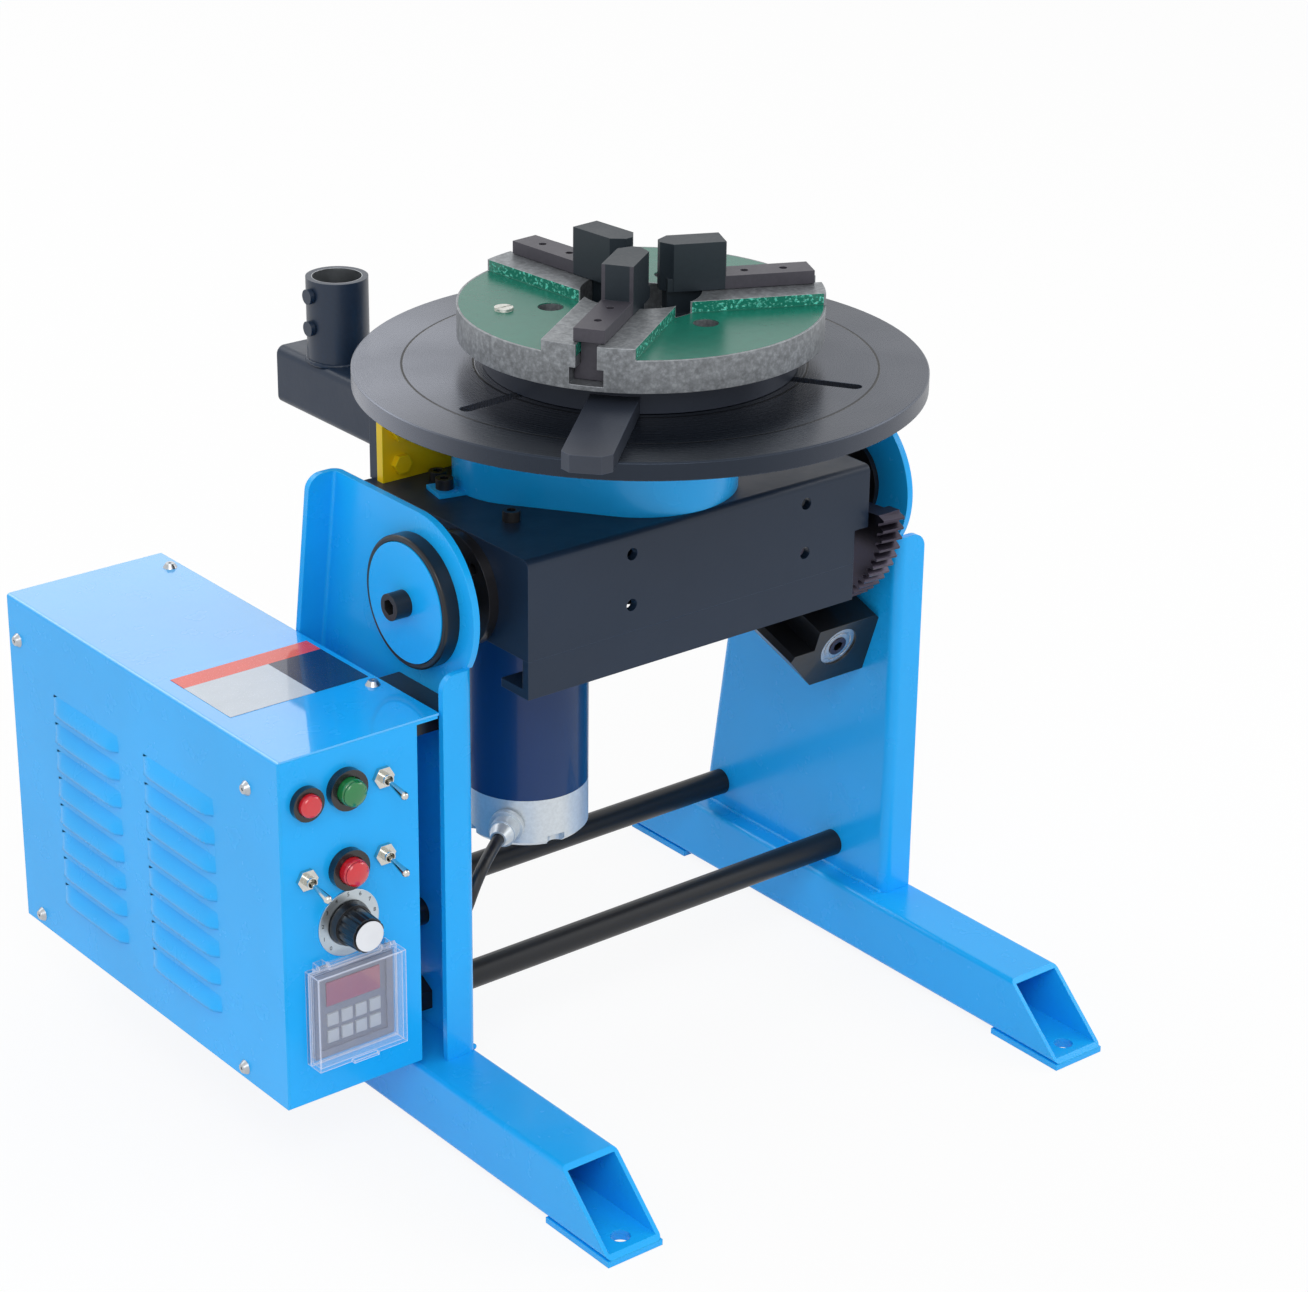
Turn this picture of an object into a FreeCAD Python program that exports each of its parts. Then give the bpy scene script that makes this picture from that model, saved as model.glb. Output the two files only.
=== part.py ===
import FreeCAD, Part
import math
import os

# Bench welding positioner: a tilting carriage between two side plates on two tube feet,
# a motor driven table with a three-jaw scroll chuck, a hand-turned worm for the tilt,
# and a control box hung on the left side plate.
# Units are millimetres.  X runs left to right, Y front to rear, Z up from the floor.
# The origin lies on the floor in the middle of the four anchor holes.

os.makedirs("parts", exist_ok=True)
V = FreeCAD.Vector

# ---------------------------------------------------------------- driving dimensions
# Feet
foot_spacing = 326.0          # between the two foot centre lines
foot_width = 36.0
foot_height = 38.0
foot_wall = 2.5
foot_length = 392.0           # along the floor
foot_top_length = 310.0       # the ends are cut on a slant
pad_thickness = 3.5
pad_length = 54.0
anchor_inset = 13.0           # from a foot's end to its anchor hole
anchor_hole = 11.0
# Side plates
plate_thickness = 4.0
flange_width = 20.5           # over the bend, outer faces
bend_radius = 2.0             # inside radius
plate_front = -32.0
plate_base_rear = 140.0
plate_top_rear = 94.0
worm_room = 13.0              # how far the right plate stands outside the foot's inner face
head_radius = 49.5
flange_top_drop = 26.0        # front flanges end this far below the tilt axis
flange_corner = 9.0
# Axes
tilt_y = 12.0
tilt_z = 298.6
# Tie rods
rod_diameter = 16.0
rod_stud = 12.0
rod_z = 58.0
front_rod_y = 15.0
rear_rod_y = 122.0
nut_flats = 19.0
nut_height = 10.0
hole_clearance = 0.4          # on the diameter of a bolt hole
# Control box
box_gap = 32.0                # from the left plate's outer face to the box's wall
box_width = 85.5
box_front = -30.0
box_depth = 280.0
box_bottom = 47.0
box_top = 250.6
sheet = 1.5
cover_overhang = 14.5
spacer_diameter = 16.0
spacer_bolt = 8.0
upper_spacer_z = 110.0
rear_spacer_y = 112.0
# Carriage
carriage_half = 120.0
carriage_front = -46.0
carriage_rear = 108.0
carriage_top = 331.3
carriage_wall = 5.0
carriage_deck = 6.0
carriage_bend = 4.0
seam_z = 274.0
skirt_bottom = 252.0
skirt_lip = 24.0
notch_depth = 10.0            # from the carriage's right end to the face that carries the trunnion
notch_z = 294.0
carriage_hole = 7.0
# Trunnions
shaft_diameter = 30.0
bush_wall = 5.0
bush_flange = 3.0
running_gap = 0.05            # radial, shaft in bush
ring_radius = 37.0
ring_wall = 3.2
ring_depth = 9.0
hub_cap_gap = 0.4
trunnion_flange = 64.0
trunnion_flange_depth = 6.0
hub_bolt = 10.0
hub_bolt_head = 15.0
hub_bolt_depth = 10.0
# Tilt worm and sector
module = 2.0
sector_teeth_full = 66
worm_pitch_radius = 14.0
worm_length = 44.0
sector_width = 16.0
sector_mid_x = 131.0
sector_hub_radius = 24.0
worm_incline = 19.0           # degrees, the worm's front end points down
worm_shaft = 12.0
worm_hex = 6.0
housing_front = 54.0          # from the point of mesh, along the worm
housing_rear = 34.0
housing_up = 17.0
housing_down = 25.0
housing_chamfer = 22.0
bearing_outer = 26.0
bearing_width = 8.0
tooth_backlash = 0.5
# Spindle, table and drive
spindle_bore = 20.0
spindle_diameter = 35.0
bearing_od = 62.0
spindle_bearing_width = 14.0
barrel_diameter = 76.0
barrel_length = 58.0
barrel_flange = 100.0
barrel_flange_depth = 8.0
drive_module = 1.5
gear_teeth = 66
pinion_teeth = 18
gear_width = 12.0
motor_angle = 139.6           # degrees, direction from the spindle to the motor
centre_allowance = 0.15
table_diameter = 315.0
table_thickness = 10.0
table_top = 401.5
table_slot_width = 8.0
table_slot_inner = 62.0
table_slot_outer = 121.0
table_slot_angle = 183.0
hub_flange = 130.0
hub_flange_depth = 9.0
guard_radius = 55.0
guard_motor_radius = 40.5
guard_wall = 1.5
guard_height = 38.0
# Motor
motor_diameter = 72.0
motor_cap_height = 29.0
motor_bottom = 121.0
motor_body_height = 138.0
gear_neck_diameter = 48.0
gear_flange_height = 7.0
output_shaft = 12.0
# Column holder
arm_width = 36.0
arm_height = 35.0
arm_wall = 2.5
arm_x = -72.0
arm_start = 106.5
arm_end = 238.0
arm_bottom = 332.0
socket_y = 200.0
socket_outer = 36.0
socket_bore = 28.4
socket_height = 49.0
bracket_left = -115.0
bracket_right = -41.0
bracket_thickness = 5.5
bracket_height = 44.0
arm_plate_thickness = 7.0
# Chuck
chuck_diameter = 200.0
chuck_standoff = 16.25        # body's underside over the table, room for the scroll
chuck_thickness = 17.95       # rim
guide_height = 6.3            # raised guides over the rim
guide_width = 51.0
chuck_recess = 33.0           # radius of the open middle
slot_width = 11.7
tee_width = 18.7
tee_floor = 2.65              # slot's floor over the body's underside
tee_height = 9.1
slide_gap = 0.3               # jaw in its slot, each side
jaw_first_angle = -145.0
jaw_bar_width = 17.0
jaw_bar_height = 7.6          # over the guides
jaw_bar_end = 95.0
jaw_face = 9.5
jaw_block_end = 45.0
jaw_block_height = 27.0       # over the guides
scroll_pitch = 8.0
scroll_inner = 42.0
scroll_outer = 84.0
ridge_width = 3.2
ridge_height = 4.0
scroll_clearance = 0.3        # under the scroll, over the table
scroll_thickness = 12.8
lever_width = 26.5
lever_thickness = 9.5
lever_reach = 177.0
lever_angle = -137.4
chuck_hub = 37.0

# ---------------------------------------------------------------- derived positions
anchor_span = foot_length - 2 * anchor_inset
notch_x = carriage_half - notch_depth
floor_to_foot_top = pad_thickness + foot_height
foot_x = foot_spacing / 2
foot_inner = foot_x - foot_width / 2
left_web = (-foot_inner - plate_thickness, -foot_inner)
right_web = (foot_inner + worm_room, foot_inner + worm_room + plate_thickness)
head_top = tilt_z + head_radius
spindle_y = tilt_y
chuck_bottom = table_top + chuck_standoff
chuck_rim = chuck_bottom + chuck_thickness
guide_top = chuck_rim + guide_height
tee_bottom = chuck_bottom + tee_floor
tee_top = tee_bottom + tee_height
jaw_bar_top = guide_top + jaw_bar_height
jaw_block_top = guide_top + jaw_block_height
scroll_bottom = table_top + scroll_clearance
scroll_face = scroll_bottom + scroll_thickness


# ---------------------------------------------------------------- helpers
def box(x0, x1, y0, y1, z0, z1):
    return Part.makeBox(x1 - x0, y1 - y0, z1 - z0, V(x0, y0, z0))


def rod(radius, start, end):
    """A solid cylinder from one point to another."""
    a, b = V(*start), V(*end)
    return Part.makeCylinder(radius, (b - a).Length, a, b - a)


def tube(outer, inner, start, end):
    return rod(outer, start, end).cut(rod(inner, start, end))


def prism(points, direction):
    """A closed outline of points pushed along a direction."""
    corners = [V(*p) for p in points]
    face = Part.Face(Part.makePolygon(corners + [corners[0]]))
    return face.extrude(V(*direction))


def join(first, *others):
    return first.fuse(list(others)).removeSplitter()


def hexagon(flats, start, end):
    """A hexagonal bar whose axis runs from start to end."""
    a, b = V(*start), V(*end)
    radius = flats / math.sqrt(3)
    corners = [V(radius * math.cos(k * math.pi / 3), radius * math.sin(k * math.pi / 3), 0) for k in range(6)]
    bar = Part.Face(Part.makePolygon(corners + [corners[0]])).extrude(V(0, 0, (b - a).Length))
    bar.Placement = FreeCAD.Placement(a, FreeCAD.Rotation(V(0, 0, 1), b - a))
    return bar


def nut(flats, bore, start, end):
    return hexagon(flats, start, end).cut(rod(bore / 2, start, end))


def turn(shape, degrees, axis=(0, 0, 1), centre=(0, 0, 0)):
    copy = shape.copy()
    copy.rotate(V(*centre), V(*axis), degrees)
    return copy


def about_spindle(shape, degrees):
    return turn(shape, degrees, (0, 0, 1), (0, spindle_y, 0))


def save(name, *solids):
    shape = solids[0] if len(solids) == 1 else Part.makeCompound(list(solids))
    shape.exportStep("parts/" + name + ".step")


def socket_screw(diameter, head, head_height, seat, direction, length):
    """A socket-head screw: the head stands on its seat, the shank runs along direction."""
    seat, way = V(*seat), V(*direction)
    way.normalize()
    top = seat - way * head_height
    screw = rod(head / 2, top, seat).fuse(rod(diameter / 2, seat, seat + way * length))
    socket = hexagon(diameter * 0.8, top, top + way * head_height * 0.55)
    return screw.removeSplitter().cut(socket)


# ---------------------------------------------------------------- feet
def foot(side):
    """One square tube foot with slanted open ends; its anchor plates are separate."""
    x0, x1 = side * foot_x - foot_width / 2, side * foot_x + foot_width / 2
    low, high = pad_thickness, floor_to_foot_top
    outline = [(x0, -foot_length / 2, low), (x0, foot_length / 2, low),
               (x0, foot_top_length / 2, high), (x0, -foot_top_length / 2, high)]
    body = prism(outline, (foot_width, 0, 0))
    edges = [e for e in body.Edges if abs(e.Vertexes[0].Z - e.Vertexes[1].Z) < 0.01
             and abs(e.Vertexes[0].X - e.Vertexes[1].X) < 0.01]
    body = body.makeFillet(foot_wall * 1.2, edges)
    body = body.cut(box(x0 + foot_wall, x1 - foot_wall, -foot_length, foot_length, low + foot_wall, high - foot_wall))
    for end in (-1, 1):
        y = end * anchor_span / 2
        body = body.cut(rod(anchor_hole / 2, (side * foot_x, y, 0), (side * foot_x, y, low + 2 * foot_wall)))
    return body


def foot_pads():
    pads = []
    for side in (-1, 1):
        x = side * foot_x
        for end in (-1, 1):
            y_out = end * foot_length / 2
            y_in = y_out - end * pad_length
            pad = box(x - foot_width / 2, x + foot_width / 2, min(y_out, y_in), max(y_out, y_in), 0, pad_thickness)
            y = end * anchor_span / 2
            pads.append(pad.cut(rod(anchor_hole / 2, (x, y, -1), (x, y, pad_thickness + 1))))
    return pads


# ---------------------------------------------------------------- side plates
def bent_edge(web_in, web_out, outward, y_edge, inward, z0, z1, shift):
    """The L of a flange: a bend at the web's edge and a leg that points away from the machine.

    y_edge is the flange's outer face, inward the direction from it back into the web,
    shift how far the whole section moves in Y on its way up.
    """
    outer = bend_radius + plate_thickness
    tip = web_in + outward * flange_width
    y = lambda depth: y_edge + inward * depth
    middle = math.sqrt(0.5)
    centre_x, centre_y = web_in + outward * outer, y(outer)
    arc_out = V(centre_x - outward * outer * middle, centre_y - inward * outer * middle, z0)
    arc_in = V(centre_x - outward * bend_radius * middle, centre_y - inward * bend_radius * middle, z0)
    a, b = V(web_in, y(outer), z0), V(web_in + outward * outer, y(0), z0)
    c, d = V(tip, y(0), z0), V(tip, y(plate_thickness), z0)
    e, f = V(web_in + outward * outer, y(plate_thickness), z0), V(web_out, y(outer), z0)
    section = Part.Wire([Part.Arc(a, arc_out, b).toShape(), Part.makeLine(b, c), Part.makeLine(c, d),
                         Part.makeLine(d, e), Part.Arc(e, arc_in, f).toShape(), Part.makeLine(f, a)])
    leg = Part.Face(section).extrude(V(0, shift, z1 - z0))
    corner = [k for k in leg.Edges if abs(k.Vertexes[0].Z - z1) < 0.01 and abs(k.Vertexes[-1].Z - z1) < 0.01
              and abs(k.Vertexes[0].X - tip) < 0.01 and abs(k.Vertexes[-1].X - tip) < 0.01]
    return leg.makeFillet(flange_corner, corner)


def side_plate(web, outward):
    """A folded side plate: web with a round head, short front flange, full-height rear flange."""
    web_in, web_out = (web[1], web[0]) if outward < 0 else (web[0], web[1])
    outer = bend_radius + plate_thickness
    low = floor_to_foot_top
    flange_top = tilt_z - flange_top_drop
    rise = (plate_top_rear - plate_base_rear) / (head_top - low)
    reach = math.sqrt(head_radius ** 2 - flange_top_drop ** 2)
    shoulder = V(web[0], tilt_y - reach, flange_top)
    crown = V(web[0], tilt_y, head_top)
    half = math.radians(90 + 0.5 * math.degrees(math.acos(flange_top_drop / head_radius) + math.pi / 2) - 90)
    mid_angle = math.radians(90) + half
    middle = V(web[0], tilt_y + head_radius * math.cos(mid_angle), tilt_z + head_radius * math.sin(mid_angle))
    front = plate_front + outer
    p = [V(web[0], front, low), V(web[0], front, flange_top), shoulder, crown,
         V(web[0], plate_top_rear - outer, head_top), V(web[0], plate_base_rear - outer, low)]
    outline = Part.Wire([Part.makeLine(p[0], p[1]), Part.makeLine(p[1], p[2]), Part.Arc(p[2], middle, p[3]).toShape(),
                         Part.makeLine(p[3], p[4]), Part.makeLine(p[4], p[5]), Part.makeLine(p[5], p[0])])
    plate = Part.Face(outline).extrude(V(web[1] - web[0], 0, 0))
    front_leg = bent_edge(web_in, web_out, outward, plate_front, 1, low, flange_top, 0)
    rear_leg = bent_edge(web_in, web_out, outward, plate_base_rear, -1, low, head_top, rise * (head_top - low))
    plate = join(plate, front_leg, rear_leg)
    x0, x1 = web[0] - 1, web[1] + 1
    plate = plate.cut(rod(shaft_diameter / 2 + bush_wall, (x0, tilt_y, tilt_z), (x1, tilt_y, tilt_z)))
    for y in (front_rod_y, rear_rod_y):
        plate = plate.cut(rod((rod_stud + hole_clearance) / 2, (x0, y, rod_z), (x1, y, rod_z)))
    return plate


def left_plate():
    plate = side_plate(left_web, -1)
    for y, z in spacer_places():
        plate = plate.cut(rod((spacer_bolt + hole_clearance) / 2, (left_web[0] - 1, y, z), (left_web[1] + 1, y, z)))
    return plate


def right_plate():
    plate = side_plate(right_web, 1)
    for point in housing_bolt_places():
        plate = plate.cut(rod((housing_bolt + hole_clearance) / 2, (right_web[0] - 1,) + point, (right_web[1] + 1,) + point))
    return plate


# ---------------------------------------------------------------- tie rods
def tie_rod(y):
    left, right = left_web[1], right_web[0]
    stud = plate_thickness + nut_height + 2
    shank = rod(rod_diameter / 2, (left, y, rod_z), (right, y, rod_z))
    ends = rod(rod_stud / 2, (left - stud, y, rod_z), (right + stud, y, rod_z))
    return join(shank, ends)


def tie_rod_nuts():
    nuts = []
    for y in (front_rod_y, rear_rod_y):
        for face, way in ((left_web[0], -1), (right_web[1], 1)):
            nuts.append(nut(nut_flats, rod_stud + 0.1, (face, y, rod_z), (face + way * nut_height, y, rod_z)))
    return nuts


# ---------------------------------------------------------------- control box
box_right = left_web[0] - box_gap
box_left = box_right - box_width
box_rear = box_front + box_depth
panel_x = (box_left + box_right) / 2


def spacer_places():
    return [(front_rod_y, upper_spacer_z), (rear_spacer_y, upper_spacer_z)]


lamp_place = (-251.5, 225.0)
start_place = (-227.0, 226.5)
stop_place = (-227.0, 180.0)
toggle_places = [(-203.5, 226.0), (-252.5, 181.0), (-203.5, 181.0)]
knob_place = (-227.0, 147.5)
timer_place = (-227.0, 99.0)
timer_size = 50.0
panel_hole = 12.0
toggle_hole = 6.4
knob_hole = 7.4
cable_entry = (206.0, 96.0)
cable_diameter = 7.0
inlet_place = (-245.0, 90.0)
pedal_place = (-205.0, 90.0)
inlet_size = (28.0, 20.0)
pedal_diameter = 16.0


def control_chassis():
    """Folded tray: front panel, floor, rear panel and the wall by the side plate with its top flange."""
    outer = box(box_left, box_right, box_front, box_rear, box_bottom, box_top)
    inner = box(box_left - 1, box_right - sheet, box_front + sheet, box_rear - sheet, box_bottom + sheet, box_top + 1)
    tray = outer.cut(inner)
    shelf = box(box_right - sheet, box_right + cover_overhang - 1, box_front, box_rear, box_top - sheet, box_top)
    edge = box(box_left, box_left + sheet, box_front, box_rear, box_bottom, box_bottom + 14)
    tray = join(tray, shelf, edge)
    y0, y1 = box_front - 1, box_front + sheet + 1
    for x, z in (lamp_place, start_place, stop_place):
        tray = tray.cut(rod(panel_hole / 2, (x, y0, z), (x, y1, z)))
    for x, z in toggle_places:
        tray = tray.cut(rod(toggle_hole / 2, (x, y0, z), (x, y1, z)))
    tray = tray.cut(rod(knob_hole / 2, (knob_place[0], y0, knob_place[1]), (knob_place[0], y1, knob_place[1])))
    half = timer_size / 2 - 2.5
    x, z = timer_place
    tray = tray.cut(box(x - half, x + half, y0, y1, z - half, z + half))
    for y, z in spacer_places():
        tray = tray.cut(rod((spacer_bolt + hole_clearance) / 2, (box_right - 3, y, z), (box_right + 1, y, z)))
    tray = tray.cut(rod(cable_diameter / 2 + 2.5, (box_right - 3,) + cable_entry, (box_right + 1,) + cable_entry))
    w, h = inlet_size
    x, z = inlet_place
    tray = tray.cut(box(x - w / 2, x + w / 2, box_rear - sheet - 1, box_rear + 1, z - h / 2, z + h / 2))
    x, z = pedal_place
    return tray.cut(rod(pedal_diameter / 2, (x, box_rear - sheet - 1, z), (x, box_rear + 1, z)))


louver_rows = 8
louver_pitch = 17.0
louver_top = 205.0
louver_columns = [(134.0, 200.0), (36.0, 103.0)]
louver_height = 8.0
louver_depth = 3.6


def louver(y0, y1, z):
    """One pressed hood that stands off the wall and opens downward."""
    face = box_left - sheet
    end = louver_height * 0.6
    low = [V(face, y0, z), V(face - louver_depth, y0 + end, z), V(face - louver_depth, y1 - end, z), V(face, y1, z)]
    top = [V(face, y0 + end / 2, z + louver_height), V(face - 0.2, y0 + end, z + louver_height),
           V(face - 0.2, y1 - end, z + louver_height), V(face, y1 - end / 2, z + louver_height)]
    wires = [Part.makePolygon(row + [row[0]]) for row in (low, top)]
    return Part.makeLoft(wires, True, True)


def control_cover():
    """Side wall and lid in one folded sheet, with two columns of pressed louvers."""
    left = box_left - sheet
    wall = box(left, box_left, box_front, box_rear, box_bottom, box_top + sheet)
    lid = box(left, box_right + cover_overhang, box_front, box_rear, box_top, box_top + sheet)
    cover = join(wall, lid)
    fold = [e for e in cover.Edges if abs(e.Vertexes[0].X - left) < 0.01 and abs(e.Vertexes[-1].X - left) < 0.01
            and abs(e.Vertexes[0].Z - box_top - sheet) < 0.01 and abs(e.Vertexes[-1].Z - box_top - sheet) < 0.01]
    cover = cover.makeFillet(sheet * 1.3, fold)
    for y0, y1 in louver_columns:
        for row in range(louver_rows):
            z = louver_top - row * louver_pitch - louver_height
            hood = louver(y0, y1, z)
            slit = box(left - 1, box_left + 1, y0 + 6, y1 - 6, z - 1.5, z + 2.5)
            cover = cover.cut(slit).fuse(hood)
            hollow = box(left - louver_depth + 1.2, box_left + 1, y0 + 7, y1 - 7, z - 0.1, z + 3.2)
            cover = cover.cut(hollow)
    return cover.removeSplitter()


cover_screw_places = [(240.0, 226.5), (0.0, 226.5), (232.0, 54.0), (12.0, 54.0)]
lid_screw_places = [(228.0,), (21.0,)]
screw_head = 8.5
screw_head_height = 2.6
screw_shank = 4.0


def cover_screws():
    """Domed pan heads: four in the side wall, two in the lid's overhang."""
    screws = []
    face = box_left - sheet
    for y, z in cover_screw_places:
        screws.append(pan_screw((face, y, z), (1, 0, 0)))
    for (y,) in lid_screw_places:
        screws.append(pan_screw((box_right + cover_overhang / 2, y, box_top + sheet), (0, 0, -1)))
    return screws


def pan_screw(seat, way):
    seat, way = V(*seat), V(*way)
    head = Part.makeCone(screw_head / 2, screw_head * 0.3, screw_head_height, seat, way * -1)
    slot = rod(0.9, seat - way * (screw_head_height + 1), seat - way * (screw_head_height - 1))
    return head.cut(slot)


def control_spacers():
    solids = []
    for y, z in spacer_places():
        bore = (spacer_bolt + hole_clearance) / 2
        solids.append(tube(spacer_diameter / 2, bore, (box_right, y, z), (left_web[0], y, z)))
    top = box(box_right, left_web[0], -22, 32, box_top - sheet - 11, box_top - sheet)
    solids.append(top)
    return solids


def control_bolts():
    """Through bolts that hold the box to the left plate, heads inside the machine."""
    bolts = []
    for y, z in spacer_places():
        head = hexagon(13, (left_web[1], y, z), (left_web[1] + 5.3, y, z))
        shank = rod(spacer_bolt / 2, (left_web[1], y, z), (box_right - sheet - 9, y, z))
        bolts.append(join(head, shank))
        bolts.append(nut(13, spacer_bolt + 0.1, (box_right - sheet, y, z), (box_right - sheet - 6.5, y, z)))
    return bolts


def panel_lamp():
    """Indicator lamp: black bezel in front of the panel, body behind it."""
    x, z = lamp_place
    bezel = tube(9.5, 6.6, (x, box_front, z), (x, box_front - 4, z))
    body = rod(panel_hole / 2 - 0.1, (x, box_front, z), (x, box_front + 22, z))
    nut_ring = tube(9, panel_hole / 2, (x, box_front + sheet, z), (x, box_front + sheet + 3, z))
    lens = rod(6.4, (x, box_front, z), (x, box_front - 8, z))
    lens = lens.makeFillet(2.4, [e for e in lens.Edges if abs(e.Vertexes[0].Y - (box_front - 8)) < 0.01])
    return join(bezel, body), nut_ring, lens


def button_bezel(place):
    x, z = place
    bezel = tube(11.5, 8.0, (x, box_front, z), (x, box_front - 5, z))
    sleeve = tube(panel_hole / 2 - 0.1, 4.2, (x, box_front, z), (x, box_front + 20, z))
    web = tube(8.2, 4.2, (x, box_front, z), (x, box_front - 1, z))
    back = rod(panel_hole / 2 - 0.1, (x, box_front + 20, z), (x, box_front + 34, z))
    return join(bezel, web, sleeve, back)


def button_cap(place):
    """Push button: a domed cap on a stem; it stands clear of its seat by its own travel."""
    x, z = place
    cap = rod(7.6, (x, box_front - 1 - button_travel - 0.3, z), (x, box_front - 10, z))
    cap = cap.makeFillet(2.0, [e for e in cap.Edges if abs(e.Vertexes[0].Y - (box_front - 10)) < 0.01])
    stem = rod(4.1, (x, box_front - 2 - button_travel, z), (x, box_front + 14, z))
    return join(cap, stem)


button_travel = 3.0


def toggle_body(place):
    """Switch case behind the panel with its threaded neck and hexagon nut in front."""
    x, z = place
    case = box(x - 6.5, x + 6.5, box_front + sheet, box_front + sheet + 16, z - 9, z + 9)
    neck = rod(3.1, (x, box_front + sheet, z), (x, box_front - 6.5, z))
    body = join(case, neck)
    pocket = Part.makeCone(toggle_radius + 1.2, 2.6, toggle_depth + 0.5, V(x, box_front - 6.5 + toggle_depth, z), V(0, -1, 0))
    pocket = pocket.fuse(Part.makeSphere(toggle_ball + 0.3, V(x, box_front - 6.5 + toggle_depth, z)))
    seat = toggle_cross_pin(place, 0.1)
    return body.cut(pocket).cut(seat)


toggle_ball = 1.9
toggle_radius = 0.9
toggle_depth = 3.0
toggle_swing = 12.0
toggle_pin = 1.2


def toggle_cross_pin(place, gap):
    """Pin along X through the ball; its ends turn in the neck."""
    x, z = place
    y = box_front - 6.5 + toggle_depth
    half = toggle_ball + 0.8 + gap
    return rod(toggle_pin / 2 + gap, (x - half, y, z), (x + half, y, z))


def toggle_lever(place):
    """Bat lever on a ball inside the neck; it stands tilted down, as left by the last press."""
    x, z = place
    pivot = V(x, box_front - 6.5 + toggle_depth, z)
    ball = Part.makeSphere(toggle_ball, pivot)
    bat = Part.makeCone(toggle_radius, 2.3, 17, pivot, V(0, -1, 0))
    tip = Part.makeSphere(2.3, pivot + V(0, -17, 0))
    lever = ball.fuse([bat, tip, toggle_cross_pin(place, 0)]).removeSplitter()
    return turn(lever, toggle_swing, (1, 0, 0), pivot)


def toggle_nuts():
    return [nut(11, 6.3, (x, box_front, z), (x, box_front - 2.5, z)) for x, z in toggle_places]


def dial_plate():
    x, z = knob_place
    return tube(19.0, knob_hole / 2 + 2, (x, box_front, z), (x, box_front - 0.8, z))


def potentiometer():
    x, z = knob_place
    case = rod(8.5, (x, box_front + sheet, z), (x, box_front + sheet + 11, z))
    neck = rod(knob_hole / 2 - 0.1, (x, box_front + sheet, z), (x, box_front - 3.5, z))
    shaft = rod(3.0, (x, box_front - 3.5, z), (x, box_front - 12, z))
    return join(case, neck, shaft)


def speed_knob():
    """Fluted skirted knob with a turned cap and a pointer groove."""
    x, z = knob_place
    face = box_front - 19
    skirt = Part.makeCone(12.8, 11.6, 4, V(x, box_front - 1.6, z), V(0, -1, 0))
    grip = Part.makeCone(10.6, 9.8, 13.4, V(x, box_front - 5.6, z), V(0, -1, 0))
    knob = skirt.fuse(grip)
    for k in range(12):
        a = 2 * math.pi * k / 12
        flute = rod(1.5, (x + 11.3 * math.cos(a), box_front - 5.7, z + 11.3 * math.sin(a)),
                    (x + 10.7 * math.cos(a), face - 1, z + 10.7 * math.sin(a)))
        knob = knob.cut(flute)
    bore = rod(3.05, (x, box_front, z), (x, box_front - 12.1, z))
    relief = rod(5.5, (x, box_front, z), (x, box_front - 4, z))
    return knob.cut(bore).cut(relief)


def knob_cap():
    x, z = knob_place
    return rod(7.6, (x, box_front - 19, z), (x, box_front - 20, z))


def timer_body():
    """Panel timer: square bezel, case behind the panel, recess for the display and keys."""
    x, z = timer_place
    half = timer_size / 2
    bezel = box(x - half, x + half, box_front - 4, box_front, z - half, z + half)
    case = box(x - half + 2.8, x + half - 2.8, box_front, box_front + 62, z - half + 2.8, z + half - 2.8)
    recess = box(x - half + 4, x + half - 4, box_front - 5, box_front - 2.5, z - half + 4, z + half - 4)
    return join(bezel, case).cut(recess)


def timer_display():
    x, z = timer_place
    return box(x - 17, x + 17, box_front - 3.4, box_front - 2.5, z + 4.5, z + 18.5)


timer_key_columns = 4
timer_key_pitch = 9.0


def timer_keys():
    """Two rows of small rocker keys under the display."""
    x, z = timer_place
    keys = []
    for row in range(2):
        for column in range(timer_key_columns):
            kx = x + (column - (timer_key_columns - 1) / 2) * timer_key_pitch
            kz = z - 4 - row * 10
            keys.append(box(kx - 3.4, kx + 3.4, box_front - 3.7, box_front - 2.5, kz - 3.6, kz + 3.6))
    return keys


cover_gap = 0.4
lid_wall = 1.4
lid_depth = 9.0
lid_margin = 3.0
lid_pivot_y = box_front - 4.6
lid_pivot_rise = 2.0          # hinge axis over the lid's upper edge
lid_pin = 1.9
eye_width = 6.0
eye_inset = 5.0               # from the frame's end to the eye


def timer_frame():
    """Clear fixed frame around the timer with two hinge eyes on its upper edge."""
    x, z = timer_place
    half = timer_size / 2
    out = half + lid_margin
    frame = box(x - out, x + out, box_front - 3, box_front, z - out, z + out)
    frame = frame.cut(box(x - half - 0.1, x + half + 0.1, box_front - 4, box_front + 1, z - half - 0.1, z + half + 0.1))
    eyes = []
    axis_z = z + out + lid_pivot_rise
    for side in (-1, 1):
        near = x + side * (out - eye_inset)
        far = x + side * (out - eye_inset - eye_width)
        low, high = min(near, far), max(near, far)
        radius = lid_pivot_rise - 0.3
        eye = box(low, high, lid_pivot_y, box_front, z + out, axis_z + radius)
        eye = eye.fuse(rod(radius, (low, lid_pivot_y, axis_z), (high, lid_pivot_y, axis_z)))
        eyes.append(eye.cut(rod(lid_pin / 2 + 0.1, (low - 1, lid_pivot_y, axis_z), (high + 1, lid_pivot_y, axis_z))))
    return join(frame, *eyes)


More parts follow.
